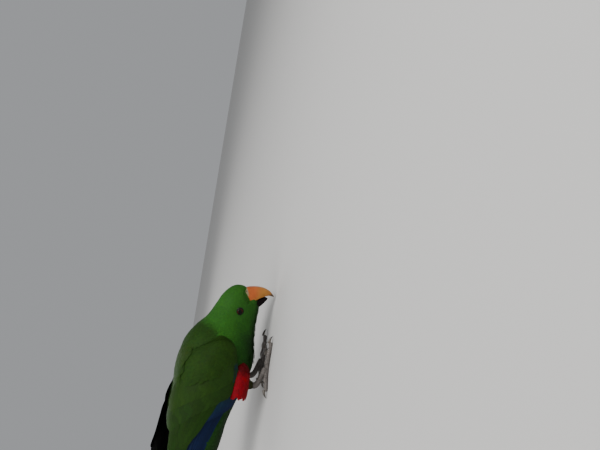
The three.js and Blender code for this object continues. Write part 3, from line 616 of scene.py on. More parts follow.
def small_feathers(
    coat, point, roots, heading, tint, lift, unwrap, rows=7, columns=7, fullest=0.68, loose=1.0
):
    """Contour feathers that follow a surface. point(a, b, grow) is the surface, a falls towards the
    tail, and heading turns a feather from there towards rising b. lift is the height of the tips."""
    a, b, length, pitch, spacing, parity = roots
    count = len(a)
    t = 1 - (1 - np.linspace(0, 1, rows)) ** 1.5
    x = np.linspace(-1, 1, columns)
    nudge = 1e-3
    heading = heading + rng.normal(0, 0.035 * loose, count)
    length = length * (1 + rng.normal(0, 0.05 * loose, count))
    width = 1.34 * pitch

    def slopes(u, v):
        ahead = (point(u + nudge, v) - point(u - nudge, v)) / (2 * nudge)
        aside = (point(u, v + nudge) - point(u, v - nudge)) / (2 * nudge)
        return ahead, aside

    path_a, path_b = [a], [b]
    for i in range(1, rows):
        ahead, aside = slopes(path_a[-1], path_b[-1])
        step = length * (t[i] - t[i - 1])
        path_a.append(path_a[-1] - step * np.cos(heading) / np.linalg.norm(ahead, axis=-1))
        path_b.append(path_b[-1] + step * np.sin(heading) / np.linalg.norm(aside, axis=-1))
    path_a, path_b = np.stack(path_a, 1), np.stack(path_b, 1)
    ahead, aside = slopes(path_a, path_b)
    half = (width[:, None] / 2 * leaf(t, fullest))[:, :, None] * x
    turned = heading[:, None, None]
    fray = 0.05 * length[:, None, None] * rng.uniform(0, 1, (count, 1, columns)) * (t ** 4)[:, None]
    sideways = half * np.sin(turned) + fray * np.cos(turned)
    grid_a = path_a[:, :, None] + sideways / np.linalg.norm(ahead, axis=-1)[:, :, None]
    grid_b = path_b[:, :, None] + half * np.cos(turned) / np.linalg.norm(aside, axis=-1)[:, :, None]
    ahead, aside = slopes(grid_a, grid_b)
    normal = unit(np.cross(aside, ahead))
    outward = np.sum((point(a, b, 0.5) - point(a, b)) * normal[:, 0, columns // 2], -1)
    normal = normal * np.sign(outward)[:, None, None, None]
    tilt = rng.normal(0, 0.03 * loose, count)[:, None, None] * x
    arch = 0.035 * width[:, None, None] * (1 - x ** 2) * leaf(t, fullest)[:, None]
    lift = lift[:, None, None] * (1 + rng.normal(0, 0.03 * loose, count))[:, None, None]
    rise = mix(t, 1 - (1 - t) ** 2, 0.5)[:, None]
    height = lift * (0.04 + rise + tilt * t[:, None] + 0.04 * parity[:, None, None] * t[:, None]) + arch
    top = point(grid_a, grid_b) + normal * height[..., None]
    thickness = 0.35 * spacing[:, None, None] * lift * (1 - 0.5 * x ** 2)
    under = top - normal * thickness[..., None]
    shade = tint[:, None, None, :] * np.ones((1, rows, columns, 1))
    patch = np.stack(np.broadcast_arrays(x[None, :] / 2, t[:, None]), -1) * PATCH
    uv = unwrap(a, b)[:, None, None, :] + patch[None]
    coat.add(top, under, shade, uv, t=t)


def feed(node, inputs):
    """Sets a node's sockets, or links those whose value another node makes."""
    for key, value in inputs.items():
        if isinstance(value, bpy.types.NodeSocket):
            node.id_data.links.new(value, node.inputs[key])
        else:
            node.inputs[key].default_value = value


def add_node(tree, kind, output, inputs, **settings):
    node = tree.nodes.new(kind)
    for key, value in settings.items():
        setattr(node, key, value)
    feed(node, inputs)
    return node.outputs[output]


def calculate(tree, operation, *values):
    return add_node(tree, "ShaderNodeMath", 0, dict(enumerate(values)), operation=operation)


def remap(tree, value, start, end, low, high):
    inputs = {"Value": value, "From Min": start, "From Max": end, "To Min": low, "To Max": high}
    return add_node(tree, "ShaderNodeMapRange", "Result", inputs)


def shade_by(tree, colour, factor):
    """The colour times a grey value."""
    inputs = {"Vector": colour, "Scale": factor}
    return add_node(tree, "ShaderNodeVectorMath", "Vector", inputs, operation="SCALE")


def tint_of(tree):
    return add_node(tree, "ShaderNodeAttribute", "Color", {}, attribute_name="tint")


def web_of(tree, axis):
    """On a feather X runs across it from the shaft, Y along it, and Z is 1 on its under face. On the bill
    Y counts its rows, and on a foot it is millimetres along and X the height round it."""
    web = add_node(tree, "ShaderNodeAttribute", "Vector", {}, attribute_name="web")
    return add_node(tree, "ShaderNodeSeparateXYZ", axis, {"Vector": web})


def texture(tree, kind, output, inputs, **settings):
    place = add_node(tree, "ShaderNodeTexCoord", "Object", {})
    return add_node(tree, kind, output, {"Vector": place, **inputs}, **settings)


def noise(tree, scale, detail):
    return texture(tree, "ShaderNodeTexNoise", "Fac", {"Scale": scale, "Detail": detail})


def cells(tree, scale, feature="F1"):
    return texture(tree, "ShaderNodeTexVoronoi", "Distance", {"Scale": scale}, feature=feature)


def new_material(name):
    material = bpy.data.materials.new(name)
    material.use_nodes = True
    return material, material.node_tree


def finish(tree, colour, roughness, gloss=0.5, height=None, strength=0.0, depth=0.0, invert=False):
    """Feeds the shader. height makes its relief, and depth is how deep that is in metres."""
    shader = tree.nodes["Principled BSDF"]
    feed(shader, {"Base Color": colour, "Roughness": roughness, "Specular IOR Level": gloss})
    if height is not None:
        inputs = {"Height": height, "Strength": strength, "Distance": depth}
        feed(shader, {"Normal": add_node(tree, "ShaderNodeBump", "Normal", inputs, invert=invert)})


def feather_material(name, roughness, barbs, slant, relief, rachis, root_shade, gloss):
    """Feathers: barbs slant from the shaft, the root is shaded and each one varies."""
    material, tree = new_material(name)
    across, along = calculate(tree, "ABSOLUTE", web_of(tree, "X")), web_of(tree, "Y")
    wobble = calculate(tree, "MULTIPLY", noise(tree, 700.0, 2.0), 0.05)
    slanted = calculate(tree, "MULTIPLY_ADD", across, -slant, along)
    phase = calculate(tree, "MULTIPLY", calculate(tree, "ADD", slanted, wobble), barbs * math.tau)
    stripes = calculate(tree, "MULTIPLY_ADD", calculate(tree, "SINE", phase), 0.5, 0.5)
    shaft = remap(tree, across, 0.0, rachis, 1.0, 0.0)
    mottle = noise(tree, 420.0, 4.0)
    factor = remap(tree, stripes, 0.0, 1.0, 0.90, 1.06)
    for other in (
        remap(tree, along, 0.2, 0.8, root_shade, 1.0),
        remap(tree, mottle, 0.3, 0.7, 0.88, 1.12),
        remap(tree, noise(tree, 60.0, 3.0), 0.3, 0.7, 0.90, 1.10),
        remap(tree, across, 0.75, 1.0, 1.0, 0.94),
        remap(tree, web_of(tree, "Z"), 0.0, 1.0, 1.0, 0.45),
        remap(tree, shaft, 0.0, 1.0, 1.0, 0.85),
    ):
        factor = calculate(tree, "MULTIPLY", factor, other)
    rough = remap(tree, mottle, 0.3, 0.7, roughness - 0.05, roughness + 0.08)
    ridge = calculate(tree, "MULTIPLY_ADD", shaft, 1.2, stripes)
    fine = calculate(tree, "MULTIPLY_ADD", noise(tree, 2600.0, 2.0), 0.4, ridge)
    finish(tree, shade_by(tree, tint_of(tree), factor), rough, gloss, fine, relief, 0.00015)
    return material


def horn_material(name, roughness, gloss):
    """Horn and bare skin: faint growth rings, flakes and clouds."""
    material, tree = new_material(name)
    cloud, flakes = noise(tree, 130.0, 4.0), noise(tree, 900.0, 4.0)
    wander = calculate(tree, "MULTIPLY_ADD", cloud, 1.4, web_of(tree, "Y"))
    rings = calculate(tree, "SINE", calculate(tree, "MULTIPLY", wander, 9.0))
    clouds = remap(tree, cloud, 0.3, 0.7, 0.84, 1.10)
    shade = calculate(tree, "MULTIPLY", clouds, remap(tree, flakes, 0.3, 0.7, 0.94, 1.05))
    rough = remap(tree, cloud, 0.3, 0.7, roughness - 0.06, roughness + 0.10)
    height = calculate(tree, "MULTIPLY_ADD", rings, 0.35, flakes)
    finish(tree, shade_by(tree, tint_of(tree), shade), rough, gloss, height, 0.25, 0.0002)
    return material


def patterned_material(name, pattern, limits, roughness, gloss, *relief):
    """The tint shaded by a pattern, remapped between limits, that makes the relief as well."""
    material, tree = new_material(name)
    height = pattern(tree)
    shade = remap(tree, height, *limits)
    finish(tree, shade_by(tree, tint_of(tree), shade), roughness, gloss, height, *relief)
    return material


def eye_material():
    material, tree = new_material("eye")
    finish(tree, tint_of(tree), 0.04, 0.16)
    return material


def foot_material():
    """Scales, with bands of scutes over the upper side."""
    material, tree = new_material("foot_scales")
    crease = remap(tree, cells(tree, 750.0, "DISTANCE_TO_EDGE"), 0.0, 0.16, 0.0, 1.0)
    phase = calculate(tree, "MULTIPLY", web_of(tree, "Y"), math.tau / SCUTE_SPACING)
    band = remap(tree, calculate(tree, "SINE", phase), -1.0, -0.6, 0.0, 1.0)
    upper = remap(tree, web_of(tree, "X"), 0.35, 0.6, 0.0, 1.0)
    both = calculate(tree, "MULTIPLY_ADD", upper, calculate(tree, "SUBTRACT", band, crease), crease)
    inputs = {"Factor": both, "A": CREASE_GREY, "B": SCALE_GREY}
    colour = add_node(tree, "ShaderNodeMix", "Result", inputs, data_type="RGBA")
    cloud = remap(tree, noise(tree, 240.0, 3.0), 0.3, 0.7, 0.75, 1.2)
    finish(tree, shade_by(tree, colour, cloud), 0.55, 0.5, both, 0.7, 0.0003)
    return material


HAIRY = feather_material("face_feather", 0.62, 2.6, 2.4, 0.30, 0.05, 0.95, 0.12)
CONTOUR = feather_material("contour_feather", 0.62, 22.0, 0.40, 0.25, 0.08, 0.85, 0.10)
COVERT = feather_material("covert_feather", 0.56, 46.0, 0.28, 0.25, 0.06, 0.75, 0.12)
FLIGHT = feather_material("flight_feather", 0.55, 120.0, 0.08, 0.25, 0.07, 0.8, 0.10)
UPPER_HORN = horn_material("upper_horn", 0.40, 0.35)
LOWER_HORN = horn_material("lower_horn", 0.55, 0.06)
CERE_SKIN = horn_material("cere_skin", 0.5, 0.25)
SKIN = patterned_material(
    "feathered_skin", lambda tree: noise(tree, 700.0, 5.0), (0.3, 0.7, 0.55, 0.9), 0.85, 0.1, 0.6, 0.0006
)
CLAW = patterned_material(
    "claw_horn", lambda tree: noise(tree, 500.0, 4.0), (0.3, 0.7, 0.7, 1.3), 0.38, 0.5, 0.2, 0.0002
)
LID = patterned_material(
    "lid_skin", lambda tree: cells(tree, 1500.0), (0.0, 0.7, 1.15, 0.55), 0.65, 0.2, 0.5, 0.0003, True
)
EYE = eye_material()
FOOT = foot_material()


def skin_unwrap(place, angle):
    return np.stack([0.02 + 0.7 * np.mod(angle / math.tau, 1.0), 0.02 + 0.95 * place / LAST_PLACE], -1)


def body_colour_and_shade(place, angle):
    """The plumage's colour over the body, as the photo and the species show it, with painted shade darkening
    its underside.
    """
    high = np.sin(angle)
    body = blend(BREAST_GREEN, MANTLE_GREEN, ease(high, -0.45, 0.35))
    along_back = ease(place, 3.0, 6.0) * ease(-place, -9.6, -7.4)
    body = blend(body, BACK_TINT, 0.55 * ease(high, 0.55, 0.95) * along_back)
    body = blend(body, VENT_GREEN, ease(-high, 0.1, 0.7) * ease(-place, -5.0, -2.5))
    neck = blend(BREAST_GREEN, NAPE_GREEN, ease(high, -0.75, 0.2))
    collar = mix(8.2, 10.6, ease(high, -0.5, 0.6))  # where the bright neck begins, further back at the throat
    body = blend(body, neck, ease(place, collar, collar + 0.8))
    head = blend(CHEEK_GREEN, CROWN_GREEN, ease(high, -0.15, 0.65))
    body = blend(body, head, ease(place, 11.4, 13.2))
    # painted shade: the colour darkens towards the bottom, where the body shades its own underside
    return body * (1 - 0.55 * ease(-high, 0.55, 0.95))[..., None]


def varied(colours, spread, warmth):
    """Small differences from feather to feather."""
    value = 1 + rng.normal(0, spread, len(colours))
    shift = rng.normal(0, warmth, len(colours))
    change = np.stack([1 + shift, np.ones_like(shift), 1 - shift], -1)
    return np.clip(colours * value[:, None] * change, 0.0005, 1.0)


def body_skin():
    """The skin in one piece, with the eyes' sockets pressed in."""
    place, angle = grid(np.linspace(0.0, LAST_PLACE, 240), around(128))
    points, quads, tris = loft(skin_point(place, angle))
    uv, colours = capped(skin_unwrap(place, angle)), capped(body_colour_and_shade(place, angle))
    skin = mesh_object("body_skin", points, quads, SKIN, tris, uv, colours)
    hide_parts("rump", "torso", "neck", "head")


def under_wing(points):
    """True for places that a folded wing covers."""
    right = points * MIRROR
    left = (points + LEFT_WING_DROP - LEFT_WING_PIVOT) @ LEFT_WING_TURN + LEFT_WING_PIVOT
    covered = np.zeros(len(points), bool)
    for x, out, up in (right.T, left.T):
        inset, wide, middle, tall, low, high = shell_section(x)
        share = (np.arctan2((up - middle) / tall, (out - inset) / wide) - low) / (high - low)
        covered |= (share > 0.05) & (share < 0.92) & (x < arm_x(0, share) - 8) & (x > -108) & (out > 0)
    return covered


def body_coat():
    """Contour feathers over the skin, but not under the wings, over the eyes or inside the bill."""
    roots = rooted_rows(skin_point, 18.9, 0.05, (0, math.tau), COAT_PLAN)
    at = body_point(roots[0], roots[1])
    ahead, left, above = from_head(at)
    near_eye = (np.hypot(ahead, above) < LID_REACH - 0.2) & (np.abs(left) > 10)
    at_bill = (past_face(ahead, above) > -0.4) & (above > -10)
    at_bill |= (ahead > 19.5) & (above <= -10) & (above > -17) & (np.abs(left) < 8.6)
    kept = ~(under_wing(at) | near_eye | at_bill)
    roots, ahead, left, above = roots[:, kept], ahead[kept], left[kept], above[kept]
    place, angle = roots[:2]
    away = np.hypot(ahead, above) + 100 * (np.abs(left) < 10)
    from_eye = ease(away, 5.0, 13.0)
    roots[2] *= mix(0.6, 1.0, from_eye)
    # About the eyes the feathers part as a stream does about a post
    parting = (LID_REACH / away) ** 2
    tailward = 1 - parting * (ahead ** 2 - above ** 2) / away ** 2
    upward = 2 * parting * ahead * above / away ** 2
    heading = np.arctan2(upward * np.sign(left), tailward)
    # Loose feathers hang from the throat
    fringe = (np.sin(angle) < -0.8) & (place > 8.5) & (place < 16.5) & (rng.random(len(place)) < 0.22)
    lift = np.where(fringe, 1.9, 1.0) * coat_depth(place) * mix(0.55, 1.0, from_eye)
    roots[2] *= np.where(fringe, 1.15, 1.0)
    roots[3] *= np.where(fringe, 0.6, 1.0)
    tint = varied(body_colour_and_shade(place, angle), 0.05, 0.04)
    for number, (start, end) in enumerate(zip(COAT_LIMITS[:-1], COAT_LIMITS[1:]), 1):
        chosen = (place >= start) & (place < end)
        face = start >= FACE_START
        coat = Coat()
        small_feathers(
            coat, skin_point, roots[:, chosen], heading[chosen], tint[chosen], lift[chosen], skin_unwrap,
            rows=5 if face else 7, columns=3 if face else 7, fullest=0.5 if face else 0.68,
        )
        coat.piece(f"coat_{number}", HAIRY if face else CONTOUR, "head_feathers" if face else "body_feathers")


def spread_plan(count, **ranges):
    """Columns for a tier of feathers: pairs give the first and last values, others hold for all."""
    ranges = {"flick": 0, "settle": 0.4, "fullest": 0.72, "press": 0, **ranges}
    up = np.linspace(0, 1, count)
    return {
        key: (mix(*value, up) if isinstance(value, tuple) else np.full(count, value, float))[:, None, None]
        for key, value in ranges.items()
    }


def scattered(count, first, last, spread):
    """Values from the first to the last that each stray a little."""
    return mix(first, last, np.linspace(0, 1, count)) + rng.normal(0, spread, count)


def long_feathers(coat, side, count, rows, columns, colour, shaft=0.0, **ranges):
    """A tier of a wing's feathers, whose roots, tips, heights, widths and leans are ranges."""
    plan = spread_plan(count, **ranges)
    t, x = np.linspace(0, 1, rows), np.linspace(-1, 1, columns)
    along = t[None, :, None]
    ragged = 1 + rng.normal(0, 0.015, (count, rows, columns)) * (np.abs(x) > 0.9)
    outline = leaf(along, plan["fullest"], 0.35, 0.10)
    arc = 0.5 * plan["width"] * outline * x * ragged
    place = mix(plan["root_x"], plan["tip_x"], along)
    share = mix(plan["root_share"], plan["tip_share"], along)
    height = mix(plan["root_height"], plan["height"], ease(along / plan["settle"]))
    height = height + plan["flick"] * along ** 4
    height = height - arc * mix(0.5, 1, along) * plan["lean"] - plan["press"] * ease(along, 0.72, 1.0)
    height = height + 0.3 * (1 - x ** 2) * outline * mix(1.0, 0.4, along)
    height = height + 0.15 * np.exp(-((x - shaft) / 0.12) ** 2) * (1 - along)
    top = shell_point(place, share, arc, height, side)
    under = shell_point(place, share, arc, height - WING_VANE, side)
    coat.add(top, under, colour(along, x[None, None, :], count), coat.strip_uv(count, x, t), shaft)


def tier_colour(base, tip=None, inner=None, edge=None, inner_from=0.0):
    """A colour function for long feathers: tip towards the end, inner on the web that the next feather
    covers, from that share of the tier on, and edge along the outer rim. On the primaries inner is their own
    black. On the far wing's other tiers it is painted shade."""

    def colour(along, x, count):
        tints = varied(np.tile(np.asarray(base), (count, 1)), 0.07, 0.05)[:, None, None, :]
        shade = tints * np.ones((1, along.shape[1], x.shape[-1], 1))
        covered = np.linspace(0, 1, count)[:, None, None] >= inner_from
        for other, share in (
            (tip, ease(along, 0.55, 0.95)),
            (inner, ease(x, 0.05, 0.45) * covered),
            (edge, ease(-x, 0.55, 1.0)),
        ):
            if other is not None:
                shade = blend(shade, other, share)
        return shade

    return colour


def wing(side, label):
    """The flight feathers and the larger coverts. The left wing is held off the back with its inner webs
    showing, and the right one lies lower along the back. On the left wing the inner webs of the secondaries,
    the tertials and the rear greater coverts are painted black as shade. The primaries' black inner webs are
    their own colour."""
    far = side > 0
    # painted shade: on the far wing, the covered inner webs are painted black where the wing is held off the
    # back
    inner = WEB_BLACK_AND_SHADE if far else None
    rank = np.arange(PRIMARIES)
    flight = Coat(PRIMARIES + SECONDARIES + TERTIALS)
    long_feathers(
        flight, side, PRIMARIES, 30, 9, tier_colour(FLIGHT_BLUE, WEB_BLACK_AND_SHADE, WEB_BLACK_AND_SHADE), shaft=-0.4,
        root_x=(4, -16), tip_x=-203 + np.where(rank < 2, 6.0, 1.25) * (rank - 2.0) ** 2,
        root_share=(0.06, 0.22), tip_share=(0.2, 0.8), root_height=(0.6, 2.6), height=(0.4, 3.7), lean=0.30,
        width=13.0,
    )
    long_feathers(
        flight, side, SECONDARIES, 26, 9, tier_colour(SECONDARY_GREEN, None, inner), shaft=-0.3,
        root_x=(8, -30), tip_x=scattered(SECONDARIES, -86, -116, 1.6), root_share=(0.22, 0.74),
        tip_share=(0.47, 0.80), root_height=(3, 3.6), height=(6.2, 7.2 if far else 4.9), lean=0.08,
        width=(15.5, 17),
    )
    long_feathers(
        flight, side, TERTIALS, 26, 9, tier_colour(WING_GREEN, None, inner), shaft=-0.15,
        root_x=(-31, -38), tip_x=(-121, -111) if far else (-80, -70), root_share=(0.79, 0.88),
        tip_share=(0.82, 0.91), root_height=3.8, height=(7.7, 8.3) if far else (5.0, 5.2), lean=0.10,
        width=18, flick=8.0 if far else 0.0,
    )
    piece = flight.piece(f"flight_feathers_{label}", FLIGHT, "wing_feathers")
    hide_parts(f"wing_{label}")

    # Greater, median and primary coverts, and the alula
    coverts = Coat(2 * COVERTS + PRIMARY_COVERTS + ALULA_FEATHERS)
    long_feathers(
        coverts, side, COVERTS, 20, 9, tier_colour(WING_GREEN, None, inner, None, 0.7),
        root_x=(14, -26), tip_x=scattered(COVERTS, -36, -78, 1.3), root_share=(0.13, 0.86),
        tip_share=(0.21, 0.88), root_height=(5, 5.3 if far else 4.2), height=(7.2, 8.3 if far else 5.6),
        settle=0.7, lean=0.05, width=15, fullest=0.8, press=0.6,
    )
    long_feathers(
        coverts, side, COVERTS, 18, 9, tier_colour(WING_OLIVE),
        root_x=(20, -10), tip_x=(-19, -55), root_share=(0.16, 0.84), tip_share=(0.21, 0.87),
        root_height=(6.2, 6.5 if far else 5.0), height=(8.0, 9.0 if far else 6.4), settle=0.7, lean=0.04,
        width=14, fullest=0.75, press=0.5,
    )
    long_feathers(
        coverts, side, PRIMARY_COVERTS, 16, 7, tier_colour(EDGE_BLUE, FLIGHT_BLUE),
        root_x=(12, -4), tip_x=(-46, -62), root_share=(0.03, 0.24), tip_share=(0.0, 0.30),
        root_height=(2.5, 3.5), height=(4.0, 6.1), settle=0.7, lean=0.12, width=9.5,
    )
    long_feathers(
        coverts, side, ALULA_FEATHERS, 14, 7, tier_colour(WING_GREEN, None, None, EDGE_BLUE),
        root_x=(22, 16), tip_x=(-30, -14), root_share=(0.04, 0.2), tip_share=(0.03, 0.18),
        root_height=3, height=(5.8, 7.4), settle=0.7, lean=0.12, width=9,
    )
    coverts.piece(f"wing_coverts_{label}", COVERT, "wing_feathers")


def arm_unwrap(a, share):
    return np.stack([0.02 + 0.95 * share, 0.02 - 0.95 * a], -1)


def wing_arm(side, label):
    """The arm under its small coverts, as a closed pad, and the small coverts themselves."""
    back, share = grid(np.linspace(0, 1, 40), np.linspace(0, 1, 40))
    outer = shell_point(arm_x(back, share), share, 0.0, arm_height(back, share, side) - ARM_EDGE, side)
    inner = shell_point(arm_x(back, share), share, 0.0, -0.6, side)
    pad = Coat()
    pad.add(outer[None], inner[None], np.tile(WING_GREEN, (1, 40, 40, 1)), arm_unwrap(-back, share)[None])
    pad.piece(f"wing_arm_{label}", SKIN, "wing_feathers")

    def point(a, share, grow=0.0):
        """The arm's top, on at its full height over the coverts behind it and rounded down ahead of it."""
        height = arm_height(np.minimum(-a, 0.4), share, side) + grow - ARM_EDGE - ARM_BROW * np.maximum(a, 0)
        height = height - 0.5 * ease(-a, 0.4, 0.6)
        return shell_point(arm_x(-a, share), share, 0.0, height, side)

    roots = rooted_rows(point, 0.07, -0.62, (0.01, 0.99), LESSER_PLAN)
    roots = roots[:, -roots[0] < np.interp(roots[1], [0, 0.2, 1], [0.60, 0.47, 0.58])]
    back, share = -roots[0], roots[1]
    # painted sheen: the small coverts lighten up the wing towards its upper edge
    colour = blend(WING_OLIVE, WING_SHOULDER_SHEEN, ease(share, 0.45, 0.85))
    at_edge = ease(-share, -0.09, -0.03) * ease(-arm_x(back, share), -16, -10)
    colour = blend(colour, EDGE_BLUE, 0.85 * at_edge)
    coat = Coat()
    lift = mix(1.2, 0.9, ease(back, 0.1, 0.5))
    small_feathers(coat, point, roots, np.zeros(len(back)), varied(colour, 0.05, 0.04), lift, arm_unwrap)
    coat.piece(f"lesser_coverts_{label}", CONTOUR, "wing_feathers")


def led(line, start, step):
    """A line's place at its start, and which way it leads from there."""
    at = line(start)
    return at, unit(line(start + step) - at)


def scapulars(side, label):
    """Broad soft feathers that drape from the back over the wing's upper edge."""
    spine = np.pi / 2 - side * 0.09
    shoulder = spine - side * 0.75

    def point(a, share, grow=0.0):
        a, share = np.broadcast_arrays(a, share)
        back, down_back = led(lambda angle: body_point(a, angle, grow - 0.5), spine, -side * 0.02)
        x = back[..., 0]
        height = np.interp(x, COVERT_CREST_X, COVERT_CREST[label]) + grow
        on_wing, up_wing = led(lambda rail: shell_point(x, rail, 0.0, height, side), SCAPULAR_RAIL, 0.02)
        on_body, up_body = led(lambda angle: body_point(a, angle, grow - 0.8), shoulder, side * 0.02)
        ahead = ease(x, 14, 26)[..., None]
        start = mix(on_wing, on_body, ahead)
        leave = mix(up_wing, up_body, ahead)
        reach = np.linalg.norm(back - start, axis=-1, keepdims=True) / 3
        b = share[..., None]
        return ((1 - b) ** 3 * start + 3 * b * (1 - b) ** 2 * (start + leave * reach)
                + 3 * b ** 2 * (1 - b) * (back + down_back * reach) + b ** 3 * back)

    def unwrap(a, share):
        return np.stack([0.05 + 0.9 * share, 0.05 + 0.08 * a], -1)

    roots = rooted_rows(point, 9.4, 6.9 if side > 0 else 4.5, (0.02, 0.98), SCAPULAR_PLAN)
    x = point(roots[0], roots[1])[:, 0]
    border = np.interp(x, [-60, -20, 8, 22, 36], [0.15, 0.12, 0.30, 0.30, 0.0])
    kept = roots[1] > border + rng.normal(0, 0.06, len(x))
    roots, x = roots[:, kept], x[kept]
    # painted light: the scapulars lighten towards the back, where light falls on the top
    colour = blend(WING_OLIVE, SCAPULAR_LIT_OLIVE, ease(roots[1], 0.1, 0.5))
    colour = blend(colour, body_colour_and_shade(roots[0], np.full(len(x), spine)), ease(x, 5, 25))
    coat = Coat()
    small_feathers(
        coat, point, roots, np.full(len(x), -0.12), varied(colour, 0.05, 0.05),
        mix(1.1, 0.9, ease(x, 5, 22)), unwrap, rows=9, loose=1.5,
    )
    coat.piece(f"scapulars_{label}", CONTOUR, "wing_feathers")


def tail_feathers(coat, pairs, rows, columns, colour, facing, **ranges):
    """A tier of the tail or its coverts, from the middle pair outwards on the left and then on the right.
    facing is 1 where they show above and -1 where they show below."""
    left_side = spread_plan(pairs, **ranges)
    plan = {key: np.concatenate([value, value]) for key, value in left_side.items()}
    for key in ("root_out", "tip_out"):
        plan[key] = np.concatenate([left_side[key], -left_side[key]])
    plan["height"] = plan["height"] + np.repeat([0.45, 0.0], pairs)[:, None, None]
    count = 2 * pairs
    t, x = np.linspace(0, 1, rows), np.linspace(-1, 1, columns)
    along = t[None, :, None]
    outline = leaf(along, 0.62, 0.4, 0.16)
    ragged = 1 + rng.normal(0, 0.02, (count, rows, columns)) * (np.abs(x) > 0.9)
    left = mix(plan["root_out"], plan["tip_out"], along) + 0.5 * plan["width"] * outline * x * ragged
    back = mix(plan["root_back"], plan["tip_back"], along)
    height = mix(plan["root_height"], plan["height"], ease(along / plan["settle"])) - TAIL_ROOF * left ** 2
    height = height + facing * (0.5 * (1 - x ** 2) * outline + 0.2 * np.exp(-(x / 0.12) ** 2) * (1 - along))
    top = tail_point(back, left, height)
    under = tail_point(back, left, height - facing * TAIL_VANE)
    coat.add(top, under, colour(along, x[None, None, :], count), coat.strip_uv(count, x, t))


def tail():
    out = np.linspace(0, 1, TAIL_PAIRS)

    def colour(along, x, count):
        base = varied(blend(TAIL_GREEN, TAIL_BLUE, ease(np.concatenate([out, out]), 0.1, 0.7)), 0.06, 0.04)
        shade = base[:, None, None, :] * np.ones((1, along.shape[1], x.shape[-1], 1))
        return blend(shade, TAIL_TIP, 0.75 * ease(along, 0.90, 0.97))

    coat = Coat(2 * TAIL_PAIRS)
    tail_feathers(
        coat, TAIL_PAIRS, 30, 9, colour, 1, root_back=3, tip_back=TAIL_LENGTH - 7 * out ** 2,
        root_out=(2.5, 7.5), tip_out=(3.4, 17.5), width=17, root_height=(2, -2), height=(2.6, -2.3),
        settle=0.3,
    )
    piece = coat.piece("tail_feathers", FLIGHT, "tail_feathers")
    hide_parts("tail")

    coat = Coat(4 * TAIL_COVERT_PAIRS)
    for facing, green, tip_back, root_height, height in (
        (1, MANTLE_GREEN, (42, 27), 8.6, (5.9, 4.2)),
        (-1, VENT_GREEN, (64, 40), -7.4, (-7.6, -6.0)),
    ):
        tail_feathers(
            coat, TAIL_COVERT_PAIRS, 16, 7, tier_colour(green), facing, root_back=-14, tip_back=tip_back,
            root_out=(1.5, 9), tip_out=(3, 13), width=11, root_height=root_height, height=height, settle=0.75,
        )
    coat.piece("tail_coverts", COVERT, "tail_feathers")


def flank_colour(points):
    return FLANK_RED * (1 - 0.6 * ease(points[:, 0], 1, 7))[:, None]


def thigh_colour(points):
    return np.tile(LEG_OLIVE, (len(points), 1))


def tube_coat(name, rows, side, ahead, length, last, lift, pitch, colour, unwrap_start):
    """Contour feathers down a tube from its first to its last place."""

    def point(a, b, grow=0.0):
        return tube_point(rows, side, ahead, -a, b, grow - lift)

    def unwrap(a, b):
        return np.stack([unwrap_start + 0.4 * np.mod(b / math.tau, 1), 0.02 - 0.9 * a / len(rows)], -1)

    roots = rooted_rows(point, -0.02, -last, (0, math.tau), [[0, length, 0.14, pitch]])
    tint = varied(colour(point(roots[0], roots[1])), 0.08, 0.05)
    lifts = np.full(len(tint), lift)
    coat = Coat()
    small_feathers(coat, point, roots, 0 * lifts, tint, lifts, unwrap, fullest=0.6, loose=2.0)
    coat.piece(name, CONTOUR, "leg_feathers")


def leg(side, label):
    foot_ahead = LEFT_FOOT_AHEAD if side > 0 else 0.0
    for name, rows, ahead, end, colour in (
        ("thigh", THIGH, foot_ahead, 3.0, thigh_colour), ("flank", FLANK, 0.0, 4.2, flank_colour),
    ):
        place, angle = grid(np.linspace(0, end, 24), around(28))
        points, quads, tris = loft(tube_point(rows, side, ahead, place, angle, -1.7))
        tint = colour(points)
        core = mesh_object(f"{name}_core_{label}", points, quads, SKIN, tris, None, tint)
        if name == "thigh":
            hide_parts(f"thigh_{label}")

    tube_coat(f"thigh_coat_{label}", THIGH, side, foot_ahead, 7.0, 2.8, 1.2, 0.34, thigh_colour, 0.02)
    tube_coat(f"flank_coat_{label}", FLANK, side, 0.0, 12.0, 3.75, 1.4, 0.26, flank_colour, 0.52)


def bill_ring(place, angle, grow):
    row = rows_at(UPPER_BILL, place)
    edge = head_point(row[..., 2], 0, row[..., 3])
    back = head_point(row[..., 0], 0, row[..., 1]) - edge
    length = np.linalg.norm(back, axis=-1)
    tall = length + grow
    lift = np.where(np.sin(angle) > 0, tall * np.sin(angle), (0.1 * tall + grow) * np.sin(angle))
    wide = (row[..., 4] + grow) * np.sign(np.cos(angle)) * np.abs(np.cos(angle)) ** BILL_FULLNESS
    return edge + LEFT * wide[..., None] + back / length[..., None] * lift[..., None]


def horn(name, rings, place, colour, material):
    """Half of the bill, with growth rings at its places."""
    points, quads, tris = loft(rings)
    webs = capped(place[..., None] * np.array([0, 1, 0]))
    return mesh_object(name, points, quads, material, tris, None, capped(colour), webs)


